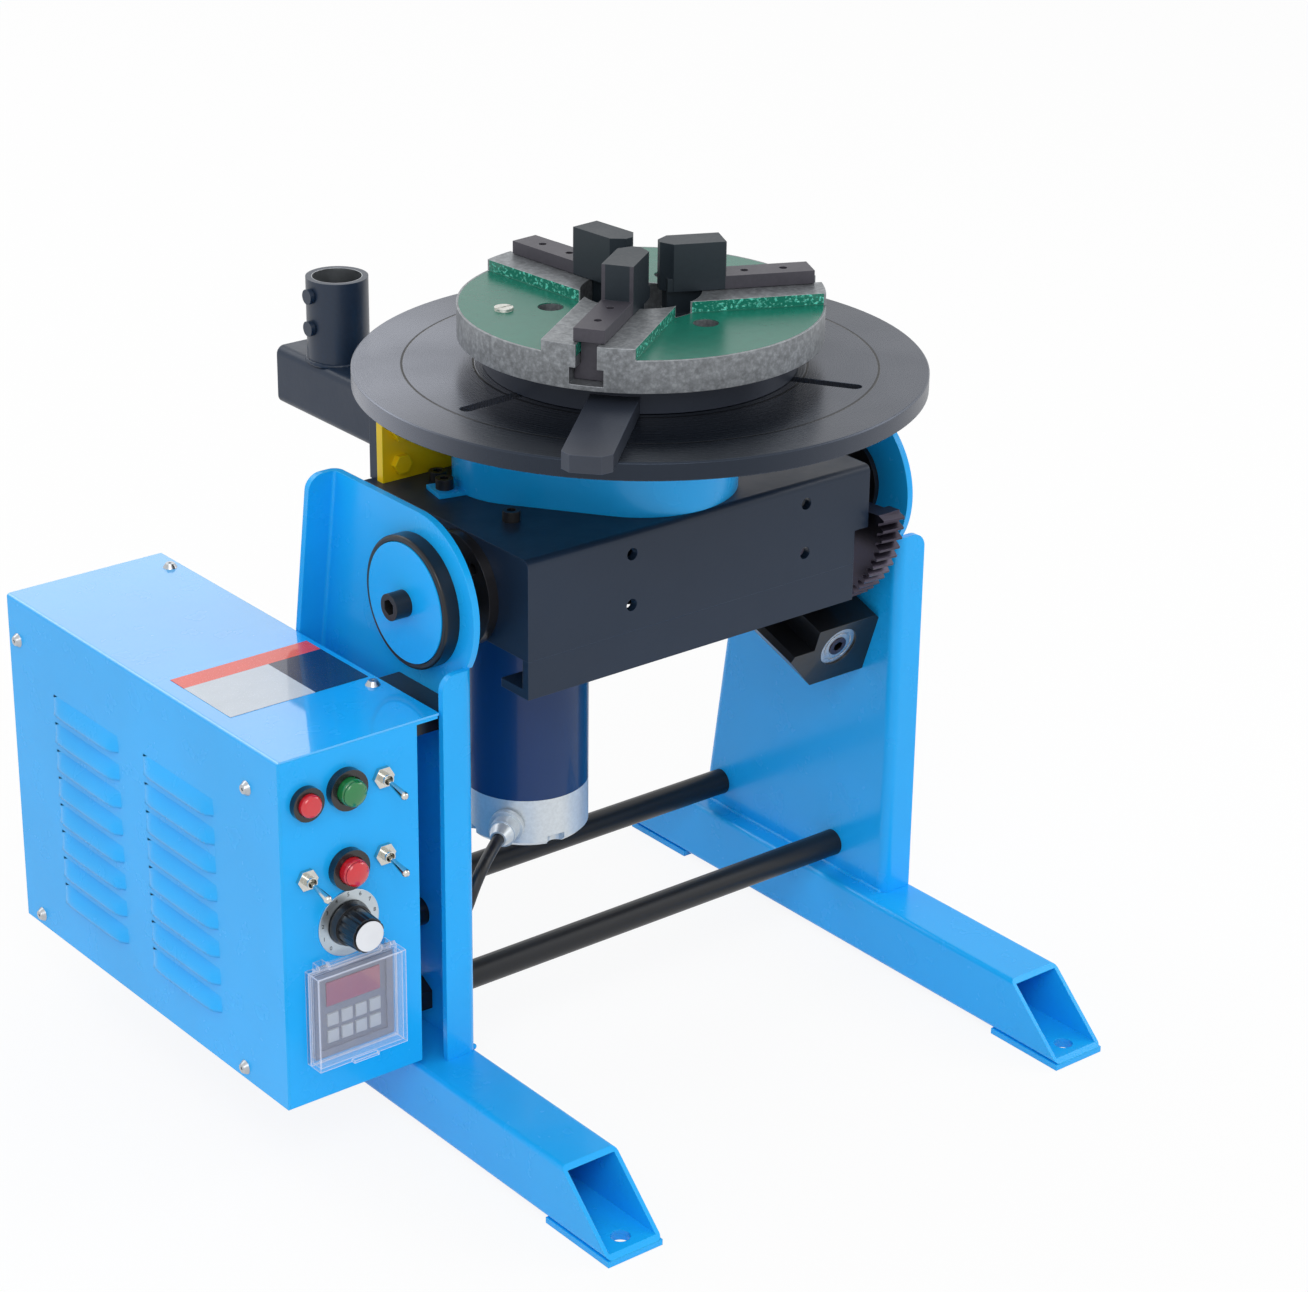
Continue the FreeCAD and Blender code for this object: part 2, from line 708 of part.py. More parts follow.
def timer_lid():
    """Clear hinged cover: a shallow tray with a finger lip, a barrel and its pin."""
    x, z = timer_place
    out = timer_size / 2 + lid_margin
    y_back = box_front - 3 - cover_gap
    y_face = y_back - lid_depth
    shell = box(x - out, x + out, y_face, y_back, z - out, z + out)
    shell = shell.cut(box(x - out + lid_wall, x + out - lid_wall, y_face + lid_wall, y_back + 1,
                          z - out + lid_wall, z + out - lid_wall))
    lip = box(x - 8, x + 8, y_face - 2.5, y_face, z - out, z - out + 1.6)
    reach = out - eye_inset - eye_width - cover_gap
    axis_z = z + out + lid_pivot_rise
    barrel = rod(lid_pivot_rise, (x - reach, lid_pivot_y, axis_z), (x + reach, lid_pivot_y, axis_z))
    bridge = box(x - reach, x + reach, lid_pivot_y - 1.6, lid_pivot_y + 1.0, z + out - 1, axis_z)
    pin = rod(lid_pin / 2, (x - out + 2, lid_pivot_y, axis_z), (x + out - 2, lid_pivot_y, axis_z))
    return join(shell, lip, barrel, bridge, pin)


def power_supply():
    """Transformer on the floor of the box: laminated core and wound bobbin."""
    core = box(box_left + 14, box_right - 14, 150, 200, box_bottom + sheet, box_bottom + sheet + 52)
    window = box(box_left + 26, box_right - 26, 149, 201, box_bottom + sheet + 11, box_bottom + sheet + 41)
    leg = box(panel_x - 8, panel_x + 8, 150, 200, box_bottom + sheet + 10, box_bottom + sheet + 42)
    core = join(core.cut(window), leg)
    coil = box(panel_x - 15.5, panel_x + 15.5, 142, 208, box_bottom + sheet + 12, box_bottom + sheet + 40)
    coil = coil.cut(box(panel_x - 8.05, panel_x + 8.05, 149.9, 200.1, box_bottom, box_bottom + 60))
    return core, coil


def control_board():
    """Speed controller: board on four pillars with its larger parts."""
    z = box_bottom + sheet
    board = box(box_left + 8, box_right - 8, 55, 135, z + 8, z + 9.6)
    parts = []
    for x in (box_left + 12, box_right - 12):
        for y in (59, 131):
            parts.append(rod(3, (x, y, z), (x, y, z + 8)))
    parts.append(box(panel_x - 25, panel_x - 5, 70, 82, z + 9.6, z + 27))
    parts.append(rod(9, (panel_x + 12, 80, z + 9.6), (panel_x + 12, 80, z + 36)))
    parts.append(box(panel_x - 26, panel_x + 26, 112, 122, z + 9.6, z + 20))
    return join(board, *parts)


def mains_inlet():
    """Flanged appliance inlet with three blades in its well."""
    x, z = inlet_place
    w, h = inlet_size
    flange = box(x - w / 2 - 4, x + w / 2 + 4, box_rear, box_rear + 2.5, z - h / 2 - 3, z + h / 2 + 3)
    case = box(x - w / 2 + 0.2, x + w / 2 - 0.2, box_rear - 24, box_rear, z - h / 2 + 0.2, z + h / 2 - 0.2)
    well = box(x - w / 2 + 2, x + w / 2 - 2, box_rear - 17, box_rear + 3, z - h / 2 + 2, z + h / 2 - 2)
    inlet = join(flange, case).cut(well)
    blades = []
    for dx, dz in ((-7, -2), (7, -2), (0, 3)):
        blades.append(box(x + dx - 1, x + dx + 1, box_rear - 18, box_rear - 3, z + dz - 2, z + dz + 2))
    return join(inlet, *blades)


def pedal_socket():
    """Round panel connector for the foot switch: threaded shell, keyed insert and nut."""
    x, z = pedal_place
    shell = tube(pedal_diameter / 2 - 0.1, 6.4, (x, box_rear - 12, z), (x, box_rear + 9, z))
    insert = rod(6.5, (x, box_rear - 12, z), (x, box_rear + 3, z))
    collar = tube(11, pedal_diameter / 2 - 0.2, (x, box_rear, z), (x, box_rear + 2.5, z))
    pins = [rod(1, (x + 3 * math.cos(a), box_rear + 2, z + 3 * math.sin(a)),
                (x + 3 * math.cos(a), box_rear + 7, z + 3 * math.sin(a)))
            for a in (math.pi / 4 + k * math.pi / 2 for k in range(4))]
    return join(shell, insert, collar, *pins)


def cable_gland():
    """Gland in the box wall where the motor cable goes in."""
    y, z = cable_entry
    bore = cable_diameter / 2 + 0.1
    out = hexagon(17, (box_right, y, z), (box_right + 5, y, z))
    dome = Part.makeCone(8, 5, 9, V(box_right + 5, y, z), V(1, 0, 0))
    neck = rod(cable_diameter / 2 + 2.4, (box_right - 9, y, z), (box_right, y, z))
    gland = join(out, dome, neck)
    return gland.cut(rod(bore, (box_right - 10, y, z), (box_right + 15, y, z)))


# ---------------------------------------------------------------- carriage
def carriage():
    """Inverted trough: deck, front and rear walls, end walls; the right end is notched for the sector."""
    f, r, h = carriage_front, carriage_rear, carriage_half
    outer = box(-h, h, f, r, seam_z, carriage_top)
    along = [e for e in outer.Edges if abs(e.Vertexes[0].Z - carriage_top) < 0.01
             and abs(e.Vertexes[1].Z - carriage_top) < 0.01 and abs(e.Vertexes[0].Y - e.Vertexes[1].Y) < 0.01]
    outer = outer.makeFillet(carriage_bend, along)
    w = carriage_wall
    inner = box(-h + w, notch_x - w, f + w, r - w, seam_z - 1, carriage_top - carriage_deck)
    trough = outer.cut(inner)
    pocket = box(notch_x, h + 1, f + w, r - w, seam_z - 1, carriage_top - carriage_deck)
    trough = trough.cut(pocket)
    trough = trough.cut(box(notch_x, h + 1, f - 1, r + 1, seam_z - 1, notch_z))
    for x in carriage_hole_x:
        for z in carriage_hole_z:
            trough = trough.cut(rod(carriage_hole / 2, (x, f - 1, z), (x, f + w + 1, z)))
    trough = trough.cut(rod((barrel_diameter + hole_clearance) / 2, (0, spindle_y, seam_z), (0, spindle_y, carriage_top + 1)))
    for x, y in deck_screw_places + guard_bolt_places():
        trough = trough.cut(rod(3.05, (x, y, carriage_top - carriage_deck - 1), (x, y, carriage_top + 1)))
    mx, my = motor_place
    return trough.cut(rod(motor_boss / 2 + 0.2, (mx, my, seam_z), (mx, my, carriage_top + 1)))


carriage_hole_x = (-50.4, 72.9)
carriage_hole_z = (289.5, 319.0)
motor_boss = 36.0
centre_distance = drive_module * (gear_teeth + pinion_teeth) / 2 + centre_allowance
motor_place = (centre_distance * math.cos(math.radians(motor_angle)),
               spindle_y + centre_distance * math.sin(math.radians(motor_angle)))


def carriage_skirt():
    """Angle bar that closes the lower front of the carriage; it hangs under the front wall."""
    f, w = carriage_front, carriage_wall
    wall = box(-carriage_half, notch_x, f, f + w, skirt_bottom, seam_z)
    lip = box(-carriage_half, notch_x, f + w, f + skirt_lip, skirt_bottom, skirt_bottom + w)
    return join(wall, lip)


def trunnion(side):
    """Flanged stub shaft bolted to the carriage's end wall."""
    if side < 0:
        wall, tip = -carriage_half, left_web[0] - ring_depth + hub_cap_depth
    else:
        wall, tip = notch_x, right_web[1] + 8
    flange = rod(trunnion_flange / 2, (wall, tilt_y, tilt_z), (wall + side * trunnion_flange_depth, tilt_y, tilt_z))
    shaft = rod(shaft_diameter / 2, (wall, tilt_y, tilt_z), (tip, tilt_y, tilt_z))
    thread = rod(hub_bolt / 2 + 0.1, (tip, tilt_y, tilt_z), (tip - side * 22, tilt_y, tilt_z))
    body = join(flange, shaft).cut(thread)
    if side > 0:
        body = body.cut(box(wall - 1, wall + 20, tilt_y - 40, tilt_y + 40, carriage_top - carriage_deck, carriage_top + 9))
    for a in range(4):
        angle = math.radians(45 + 90 * a)
        y, z = tilt_y + 24 * math.cos(angle), tilt_z + 24 * math.sin(angle)
        body = body.cut(rod(3.2, (wall, y, z), (wall + side * trunnion_flange_depth, y, z)))
    return body


hub_cap_depth = 4.6


def hub_cap():
    """Blue disc on the end of the left stub, inside the black ring."""
    x1 = left_web[0] - ring_depth - 0.6
    cap = rod(ring_radius - ring_wall - hub_cap_gap, (x1, tilt_y, tilt_z),
              (left_web[0] - ring_depth + hub_cap_depth, tilt_y, tilt_z))
    return cap.cut(rod(hub_bolt / 2 + 0.2, (x1 - 1, tilt_y, tilt_z), (left_web[0], tilt_y, tilt_z)))


def hub_ring():
    ring = tube(ring_radius, ring_radius - ring_wall, (left_web[0], tilt_y, tilt_z),
                (left_web[0] - ring_depth, tilt_y, tilt_z))
    face = left_web[0] - ring_depth
    rim = [e for e in ring.Edges if abs(e.Vertexes[0].X - face) < 0.01 and e.Length > 2 * math.pi * (ring_radius - 0.5)]
    return ring.makeFillet(1.4, rim)


def hub_bolts():
    """Socket-head bolts into the ends of both stub shafts; the right one carries its washer."""
    x = left_web[0] - ring_depth - 0.6
    left = socket_screw(hub_bolt, hub_bolt_head, hub_bolt_depth, (x, tilt_y, tilt_z), (1, 0, 0), 22)
    x = right_web[1] + 8
    washer = tube(21, hub_bolt / 2 + 0.2, (x, tilt_y, tilt_z), (x + 3, tilt_y, tilt_z))
    right = socket_screw(hub_bolt, hub_bolt_head, hub_bolt_depth, (x + 3, tilt_y, tilt_z), (-1, 0, 0), 20)
    return left, washer, right


def tilt_bush(web, inner_side):
    """Flanged bronze bush pressed in a side plate, flange on the inside."""
    outer, bore = shaft_diameter / 2 + bush_wall, shaft_diameter / 2 + running_gap
    inside = web[1] if inner_side > 0 else web[0]
    outside = web[0] if inner_side > 0 else web[1]
    sleeve = tube(outer, bore, (inside, tilt_y, tilt_z), (outside - inner_side * bush_proud, tilt_y, tilt_z))
    flange = tube(outer + 5, bore, (inside, tilt_y, tilt_z), (inside + inner_side * bush_flange, tilt_y, tilt_z))
    return join(sleeve, flange)


bush_proud = 3.6


# ---------------------------------------------------------------- tilt sector and worm
sector_radius = module * sector_teeth_full / 2
worm_centre_distance = sector_radius + worm_pitch_radius
incline = math.radians(worm_incline)
worm_way = V(0, math.cos(incline), math.sin(incline))
mesh_way = V(0, math.sin(incline), -math.cos(incline))
worm_centre = V(sector_mid_x, tilt_y, tilt_z) + mesh_way * worm_centre_distance
lead_angle = math.atan(module / (2 * worm_pitch_radius))
sector_from = -2
sector_to = 20


def sector_tooth(index):
    """One slightly slanted wheel tooth; index counts pitches from the mesh point at rest."""
    root, tip = sector_radius - 1.25 * module, sector_radius + 0.9 * module
    pitch = 360.0 / sector_teeth_full
    slant = math.degrees(sector_width * math.tan(lead_angle) / sector_radius)
    wires = []
    for x, extra in ((-sector_width / 2, -slant / 2), (sector_width / 2, slant / 2)):
        angle = math.degrees(math.atan2(mesh_way.z, mesh_way.y)) - index * pitch + extra
        row = []
        for radius, side in ((root - 1, -1), (tip, -1), (tip, 1), (root - 1, 1)):
            half = module * (math.pi / 4 - (radius - sector_radius) / module * math.tan(math.radians(20)))
            half = half - tooth_backlash / 2
            a = math.radians(angle) + side * half / radius
            row.append(V(sector_mid_x + x, tilt_y + radius * math.cos(a), tilt_z + radius * math.sin(a)))
        wires.append(Part.makePolygon(row + [row[0]]))
    return Part.makeLoft(wires, True, True)


def tilt_sector():
    """Toothed sector on the right stub: hub, web with lightening holes and a rim of teeth."""
    pitch = 360.0 / sector_teeth_full
    mesh = math.degrees(math.atan2(mesh_way.z, mesh_way.y))
    start, end = mesh - (sector_to + 0.5) * pitch, mesh - (sector_from - 0.5) * pitch
    root = sector_radius - 1.25 * module
    x0, x1 = sector_mid_x - sector_width / 2, sector_mid_x + sector_width / 2
    rim = Part.makeCylinder(root, x1 - x0, V(x0, tilt_y, tilt_z), V(1, 0, 0), end - start)
    turned = turn(rim, start_turn(rim, start), (1, 0, 0), (x0, tilt_y, tilt_z))
    hub = rod(sector_hub_radius, (notch_x + trunnion_flange_depth, tilt_y, tilt_z), (x1 + 3, tilt_y, tilt_z))
    body = join(hub, turned, *[sector_tooth(k) for k in range(sector_from, sector_to + 1)])
    dish = tube(root - 9, sector_hub_radius + 2, (x1 - 4, tilt_y, tilt_z), (x1 + 4, tilt_y, tilt_z))
    body = body.cut(dish)
    bore = rod(shaft_diameter / 2 + 0.02, (notch_x, tilt_y, tilt_z), (x1 + 10, tilt_y, tilt_z))
    return body.cut(bore)


def start_turn(rim, start):
    """How far a cylinder slice must turn about +X so that its first face lies at angle start."""
    middle = rim.CenterOfMass
    now = math.degrees(math.atan2(middle.z - tilt_z, middle.y - tilt_y))
    span = (sector_to - sector_from + 1) * 360.0 / sector_teeth_full
    return start + span / 2 - now


def worm():
    """Worm on its shaft with a hexagon socket in the front end."""
    root = worm_pitch_radius - 1.2 * module
    tip = worm_pitch_radius + 0.9 * module
    pitch = math.pi * module
    half_tip = module * (math.pi / 4 - 0.9 * math.tan(math.radians(20))) - tooth_backlash / 2
    half_root = module * (math.pi / 4 + 1.3 * math.tan(math.radians(20))) - tooth_backlash / 2
    base = root - 0.2
    turns = math.floor(worm_length / pitch)
    height = turns * pitch
    helix = Part.makeHelix(pitch, height, base)
    corners = [V(base, 0, -half_root), V(tip, 0, -half_tip), V(tip, 0, half_tip), V(base, 0, half_root)]
    profile = Part.makePolygon(corners + [corners[0]])
    thread = Part.Wire(helix.Edges).makePipeShell([profile], True, True)
    # a gap, not a ridge, faces the sector at the middle of the thread
    thread.translate(V(0, 0, -height / 2))
    thread.rotate(V(0, 0, 0), V(0, 0, 1), 180.0 * (1 + turns))
    core = rod(root, (0, 0, -worm_length / 2 - 2), (0, 0, worm_length / 2 + 2))
    spindle = rod(worm_shaft / 2, (0, 0, -housing_front + 0.4), (0, 0, housing_rear - 0.4))
    body = thread.fuse([core, spindle])
    socket = hexagon(worm_hex, (0, 0, -housing_front - 1), (0, 0, -housing_front + 12))
    body = body.removeSplitter().cut(socket)
    return place_on_worm(body)


def place_on_worm(shape):
    """Moves a shape made along +Z, with +X toward the sector, onto the inclined worm axis."""
    frame = FreeCAD.Matrix()
    z_way, x_way = worm_way, mesh_way * -1
    y_way = z_way.cross(x_way)
    frame.A11, frame.A12, frame.A13, frame.A14 = x_way.x, y_way.x, z_way.x, worm_centre.x
    frame.A21, frame.A22, frame.A23, frame.A24 = x_way.y, y_way.y, z_way.y, worm_centre.y
    frame.A31, frame.A32, frame.A33, frame.A34 = x_way.z, y_way.z, z_way.z, worm_centre.z
    placed = shape.copy()
    placed.Placement = FreeCAD.Placement(frame)
    return placed


housing_bolt = 8.0


def housing_local_bolts():
    """Bolt places on the housing's side toward the right plate: (up, along)."""
    return [(-housing_down + 8, -housing_front + 12), (-housing_down + 8, housing_rear - 10)]


def housing_bolt_places():
    places = []
    for up, along in housing_local_bolts():
        p = worm_centre + mesh_way * -up + worm_way * along
        places.append((p.y, p.z))
    return places


def worm_housing():
    """Cast block on the right plate: worm bore, two bearing seats and a pocket for the sector."""
    right = right_web[0] - sector_mid_x
    left = notch_x + 1.5 - sector_mid_x
    tongue_top = worm_centre_distance - carriage_sweep
    up, down = housing_up, -housing_down
    # local frame: x toward the sector, y to the right, z along the worm
    outline = [(up - 3, right), (up, right - 3), (up, left), (tongue_top, left), (tongue_top, left - 15),
               (tongue_top - 4, left - 17), (down, left - 17 + housing_chamfer), (down, right)]
    block = prism([(x, y, -housing_front) for x, y in outline], (0, 0, housing_front + housing_rear))
    bore = worm_pitch_radius + module + 0.8
    clear = worm_length / 2 + 3
    block = block.cut(rod(bore, (0, 0, -clear), (0, 0, clear)))
    block = block.cut(rod(worm_shaft / 2 + 0.5, (0, 0, -housing_front - 1), (0, 0, housing_rear + 1)))
    seat = bearing_outer / 2
    block = block.cut(rod(seat, (0, 0, -housing_front - 1), (0, 0, -housing_front + bearing_width + bearing_inset)))
    block = block.cut(rod(seat, (0, 0, housing_rear - bearing_width - bearing_inset), (0, 0, housing_rear + 1)))
    for height, along in housing_local_bolts():
        block = block.cut(rod(housing_bolt / 2, (height, right + 1, along), (height, right - 18, along)))
    placed = place_on_worm(block)
    x0, x1 = sector_mid_x - sector_width / 2 - 1, sector_mid_x + sector_width / 2 + 1
    pocket = rod(sector_radius + module + 1.0, (x0, tilt_y, tilt_z), (x1, tilt_y, tilt_z))
    return placed.cut(pocket)


bearing_inset = 1.0
carriage_sweep = 77.0          # what the carriage's lower corners need about the tilt axis


def worm_bearings():
    rings = []
    for start, way in ((-housing_front + bearing_inset, 1), (housing_rear - bearing_inset, -1)):
        end = start + way * bearing_width
        outer = tube(bearing_outer / 2 - 0.02, bearing_outer / 2 - 3, (0, 0, start), (0, 0, end))
        inner = tube(worm_shaft / 2 + 3, worm_shaft / 2 + running_gap, (0, 0, start), (0, 0, end))
        shield = tube(bearing_outer / 2 - 3, worm_shaft / 2 + 3, (0, 0, start + way * 0.6), (0, 0, end - way * 0.6))
        rings.append(place_on_worm(join(outer, shield, inner)))
    return rings


def housing_bolts():
    bolts = []
    for y, z in housing_bolt_places():
        head = hexagon(13, (right_web[1], y, z), (right_web[1] + 5.3, y, z))
        shank = rod(housing_bolt / 2 - 0.05, (right_web[1], y, z), (right_web[0] - 16, y, z))
        bolts.append(join(head, shank))
    return bolts


# ---------------------------------------------------------------- spindle and drive
barrel_top = carriage_top + barrel_flange_depth
bearing_high = barrel_top - 3
bearing_low = carriage_top - barrel_length + spindle_bearing_width + 3
gear_low = barrel_top + 5
gear_top = gear_low + gear_width
table_bottom = table_top - table_thickness
hub_bottom = table_bottom - hub_flange_depth


def spindle_housing():
    """Flanged barrel through the deck with a bearing seat at each end."""
    flange = rod(barrel_flange / 2, (0, spindle_y, carriage_top), (0, spindle_y, barrel_top))
    barrel = rod(barrel_diameter / 2, (0, spindle_y, carriage_top - barrel_length), (0, spindle_y, barrel_top))
    body = join(flange, barrel)
    body = body.cut(rod(bearing_od / 2, (0, spindle_y, bearing_high - spindle_bearing_width), (0, spindle_y, 400)))
    body = body.cut(rod(bearing_od / 2, (0, spindle_y, 200), (0, spindle_y, bearing_low)))
    body = body.cut(rod(bearing_od / 2 - 5, (0, spindle_y, 200), (0, spindle_y, 400)))
    for k in range(4):
        angle = math.radians(10 + 90 * k)
        x, y = 44 * math.cos(angle), spindle_y + 44 * math.sin(angle)
        body = body.cut(rod(2.8, (x, y, carriage_top - 1), (x, y, barrel_top + 1)))
    return body


def spindle_bearings():
    rings = []
    for high in (bearing_high, bearing_low):
        z0, z1 = high - spindle_bearing_width, high
        outer = tube(bearing_od / 2 - 0.02, bearing_od / 2 - 4.5, (0, spindle_y, z0), (0, spindle_y, z1))
        inner = tube(spindle_diameter / 2 + 4.5, spindle_diameter / 2 + running_gap,
                     (0, spindle_y, z0), (0, spindle_y, z1))
        seal = tube(bearing_od / 2 - 4.4, spindle_diameter / 2 + 4.4, (0, spindle_y, z0 + 1), (0, spindle_y, z1 - 1))
        rings.append(join(outer, seal, inner))
    return rings


def spindle():
    """Hollow spindle: table flange, gear seat, journal and lock-nut thread in one turned piece."""
    bottom = bearing_low - spindle_bearing_width - 8
    flange = rod(hub_flange / 2, (0, spindle_y, hub_bottom), (0, spindle_y, table_bottom))
    cone = Part.makeCone(27, 40, hub_bottom - gear_top - 0.5, V(0, spindle_y, gear_top + 0.5))
    seat = rod(spindle_diameter / 2 + 3, (0, spindle_y, bearing_high + 0.0), (0, spindle_y, gear_top + 1))
    journal = rod(spindle_diameter / 2, (0, spindle_y, bottom), (0, spindle_y, bearing_high + 1))
    body = join(flange, cone, seat, journal)
    return body.cut(rod(spindle_bore / 2, (0, spindle_y, bottom - 1), (0, spindle_y, table_bottom + 1)))


def spindle_nut():
    low = bearing_low - spindle_bearing_width
    ring = tube(spindle_diameter / 2 + 8, spindle_diameter / 2 + 0.03, (0, spindle_y, low - 7), (0, spindle_y, low))
    for k in range(4):
        notch = box(spindle_diameter / 2 + 5, spindle_diameter / 2 + 10, spindle_y - 2.5, spindle_y + 2.5, low - 8, low + 1)
        ring = ring.cut(about_spindle(notch, 90 * k))
    return ring


def spur_outline(teeth, centre, phase, thin):
    """Closed outline of a spur gear in the XY plane; thin is what each tooth loses in thickness."""
    pitch_radius = drive_module * teeth / 2
    root, tip = pitch_radius - 1.25 * drive_module, pitch_radius + 0.95 * drive_module
    slope = math.tan(math.radians(20))
    points = []
    for k in range(teeth):
        middle = phase + 2 * math.pi * k / teeth
        for radius, side in ((root, -1), (tip, -1), (tip, 1), (root, 1)):
            half = drive_module * math.pi / 4 - (radius - pitch_radius) * slope - thin / 2
            half = max(half, 0.2 * drive_module)
            angle = middle + side * half / radius
            points.append((centre[0] + radius * math.cos(angle), centre[1] + radius * math.sin(angle)))
    return points


def spindle_gear():
    """Large spur gear on the spindle, dished on both faces."""
    toward = math.radians(motor_angle)
    outline = spur_outline(gear_teeth, (0, spindle_y), toward, 0.25)
    gear = prism([(x, y, gear_low) for x, y in outline], (0, 0, gear_width))
    root = drive_module * gear_teeth / 2 - 1.25 * drive_module
    for z in (gear_low - 1, gear_top - 3):
        gear = gear.cut(tube(root - 6, 27.2, (0, spindle_y, z), (0, spindle_y, z + 4)))
    return gear.cut(rod(spindle_diameter / 2 + 3.02, (0, spindle_y, gear_low - 1), (0, spindle_y, gear_top + 1)))


def drive_pinion():
    """Motor pinion; half a tooth off the line of centres so that it meshes at rest."""
    away = math.radians(motor_angle + 180) + math.pi / pinion_teeth
    outline = spur_outline(pinion_teeth, motor_place, away, 0.25)
    pinion = prism([(x, y, gear_low - 1) for x, y in outline], (0, 0, gear_width + 2))
    mx, my = motor_place
    pinion = pinion.fuse(rod(9, (mx, my, gear_low - 4), (mx, my, gear_low - 1)))
    shaft = rod(output_shaft / 2, (mx, my, gear_low - 26), (mx, my, gear_top + 3))
    return pinion.fuse(shaft).removeSplitter()


def table():
    """Round table with three radial slots and a pilot bore."""
    plate = rod(table_diameter / 2, (0, spindle_y, table_bottom), (0, spindle_y, table_top))
    top = [e for e in plate.Edges if abs(e.Vertexes[0].Z - table_top) < 0.01 and e.Length > 100]
    plate = plate.makeChamfer(0.8, top)
    for k in range(3):
        r0, r1, w = table_slot_inner, table_slot_outer, table_slot_width
        slot = box(r0, r1, spindle_y - w / 2, spindle_y + w / 2, table_bottom - 1, table_top + 1)
        for r in (r0, r1):
            slot = slot.fuse(rod(w / 2, (r, spindle_y, table_bottom - 1), (r, spindle_y, table_top + 1)))
        plate = plate.cut(about_spindle(slot, table_slot_angle + 120 * k))
    for x, y in table_bolt_places():
        plate = plate.cut(rod(3.4, (x, y, table_bottom - 1), (x, y, table_bottom + 7)))
    for x, y in chuck_screw_places():
        plate = plate.cut(rod(3.05, (x, y, table_bottom - 1), (x, y, table_top + 1)))
    return plate.cut(rod(spindle_bore / 2, (0, spindle_y, table_bottom - 1), (0, spindle_y, table_top + 1)))


def table_bolt_places():
    return [(52 * math.cos(math.radians(a)), spindle_y + 52 * math.sin(math.radians(a))) for a in (3, 93, 183, 273)]


def table_bolts():
    """Hexagon bolts from below through the spindle flange into the table."""
    bolts = []
    for x, y in table_bolt_places():
        head = hexagon(10, (x, y, hub_bottom - 4.3), (x, y, hub_bottom))
        shank = rod(3.0, (x, y, hub_bottom), (x, y, table_bottom + 6))
        bolts.append(join(head, shank))
    return bolts


def bored_spindle():
    body = spindle()
    for x, y in table_bolt_places():
        body = body.cut(rod(3.2, (x, y, hub_bottom - 1), (x, y, table_bottom + 1)))
    return body


def gear_guard():
    """Pressed cover over the gear and pinion, open at the motor end, with two bolted tabs."""
    z0, z1 = carriage_top, carriage_top + guard_height
    mx, my = motor_place

    def shape(offset, low, high):
        a = rod(guard_radius - offset, (0, spindle_y, low), (0, spindle_y, high))
        b = rod(guard_motor_radius - offset, (mx, my, low), (mx, my, high))
        return join(a, b, bridge_between(offset, low, high))

    shell = shape(0, z0, z1)
    lid_edges = [e for e in shell.Edges if min(v.Z for v in e.Vertexes) > z1 - 0.01]
    shell = shell.makeFillet(guard_wall * 2, lid_edges)
    shell = shell.cut(shape(guard_wall, z0 - 1, z1 - guard_wall))
    shell = shell.cut(rod(44, (0, spindle_y, z1 - 5), (0, spindle_y, z1 + 1)))
    tabs = []
    for x, y, angle in guard_tabs():
        tab = box(-2, 15, -9, 9, 0, 2.5)
        tab.rotate(V(0, 0, 0), V(0, 0, 1), angle)
        tab.translate(V(x, y, z0))
        tabs.append(tab)
    shell = join(shell, *tabs).cut(shape(guard_wall, z0 - 1, z1 - guard_wall))
    for x, y in guard_bolt_places():
        shell = shell.cut(rod(3.2, (x, y, z0 - 1), (x, y, z0 + 4)))
    return shell


def bridge_between(offset, low, high):
    """Straight sides that are tangent to the two round ends of the guard."""
    mx, my = motor_place
    r1, r2 = guard_radius - offset, guard_motor_radius - offset
    base = math.radians(motor_angle)
    open_angle = math.acos((r1 - r2) / centre_distance)
    corners = []
    for side in (1, -1):
        a = base + side * open_angle
        near = (r1 * math.cos(a), spindle_y + r1 * math.sin(a), low)
        far = (mx + r2 * math.cos(a), my + r2 * math.sin(a), low)
        corners += [near, far] if side > 0 else [far, near]
    return prism(corners, (0, 0, high - low))


def guard_tabs():
    """Root points and directions of the guard's two feet."""
    mx, my = motor_place
    tabs = []
    for x, y, radius, angle in ((mx, my, guard_motor_radius, 168.0), (0, spindle_y, guard_radius, 55.0)):
        a = math.radians(angle)
        tabs.append((x + radius * math.cos(a), y + radius * math.sin(a), angle))
    return tabs


def guard_bolt_places():
    return [(x + 8 * math.cos(math.radians(a)), y + 8 * math.sin(math.radians(a))) for x, y, a in guard_tabs()]


def deck_bolts():
    """Socket screws on the deck: two on the guard's feet and two clamp screws by the left end."""
    bolts = [socket_screw(6, 10, 6, (x, y, carriage_top + 2.5), (0, 0, -1), 8) for x, y in guard_bolt_places()]
    for x, y in deck_screw_places:
        bolts.append(socket_screw(6, 10, 6, (x, y, carriage_top), (0, 0, -1), 5.5))
    return bolts


deck_screw_places = [(-91.0, 7.6), (91.0, 7.6), (-88.0, 80.0)]


# ---------------------------------------------------------------- motor
motor_top = motor_bottom + motor_body_height


def motor_body():
    """Steel motor can on the gearbox."""
    mx, my = motor_place
    low = motor_bottom + motor_cap_height
    can = rod(motor_diameter / 2, (mx, my, low), (mx, my, motor_top))
    return can


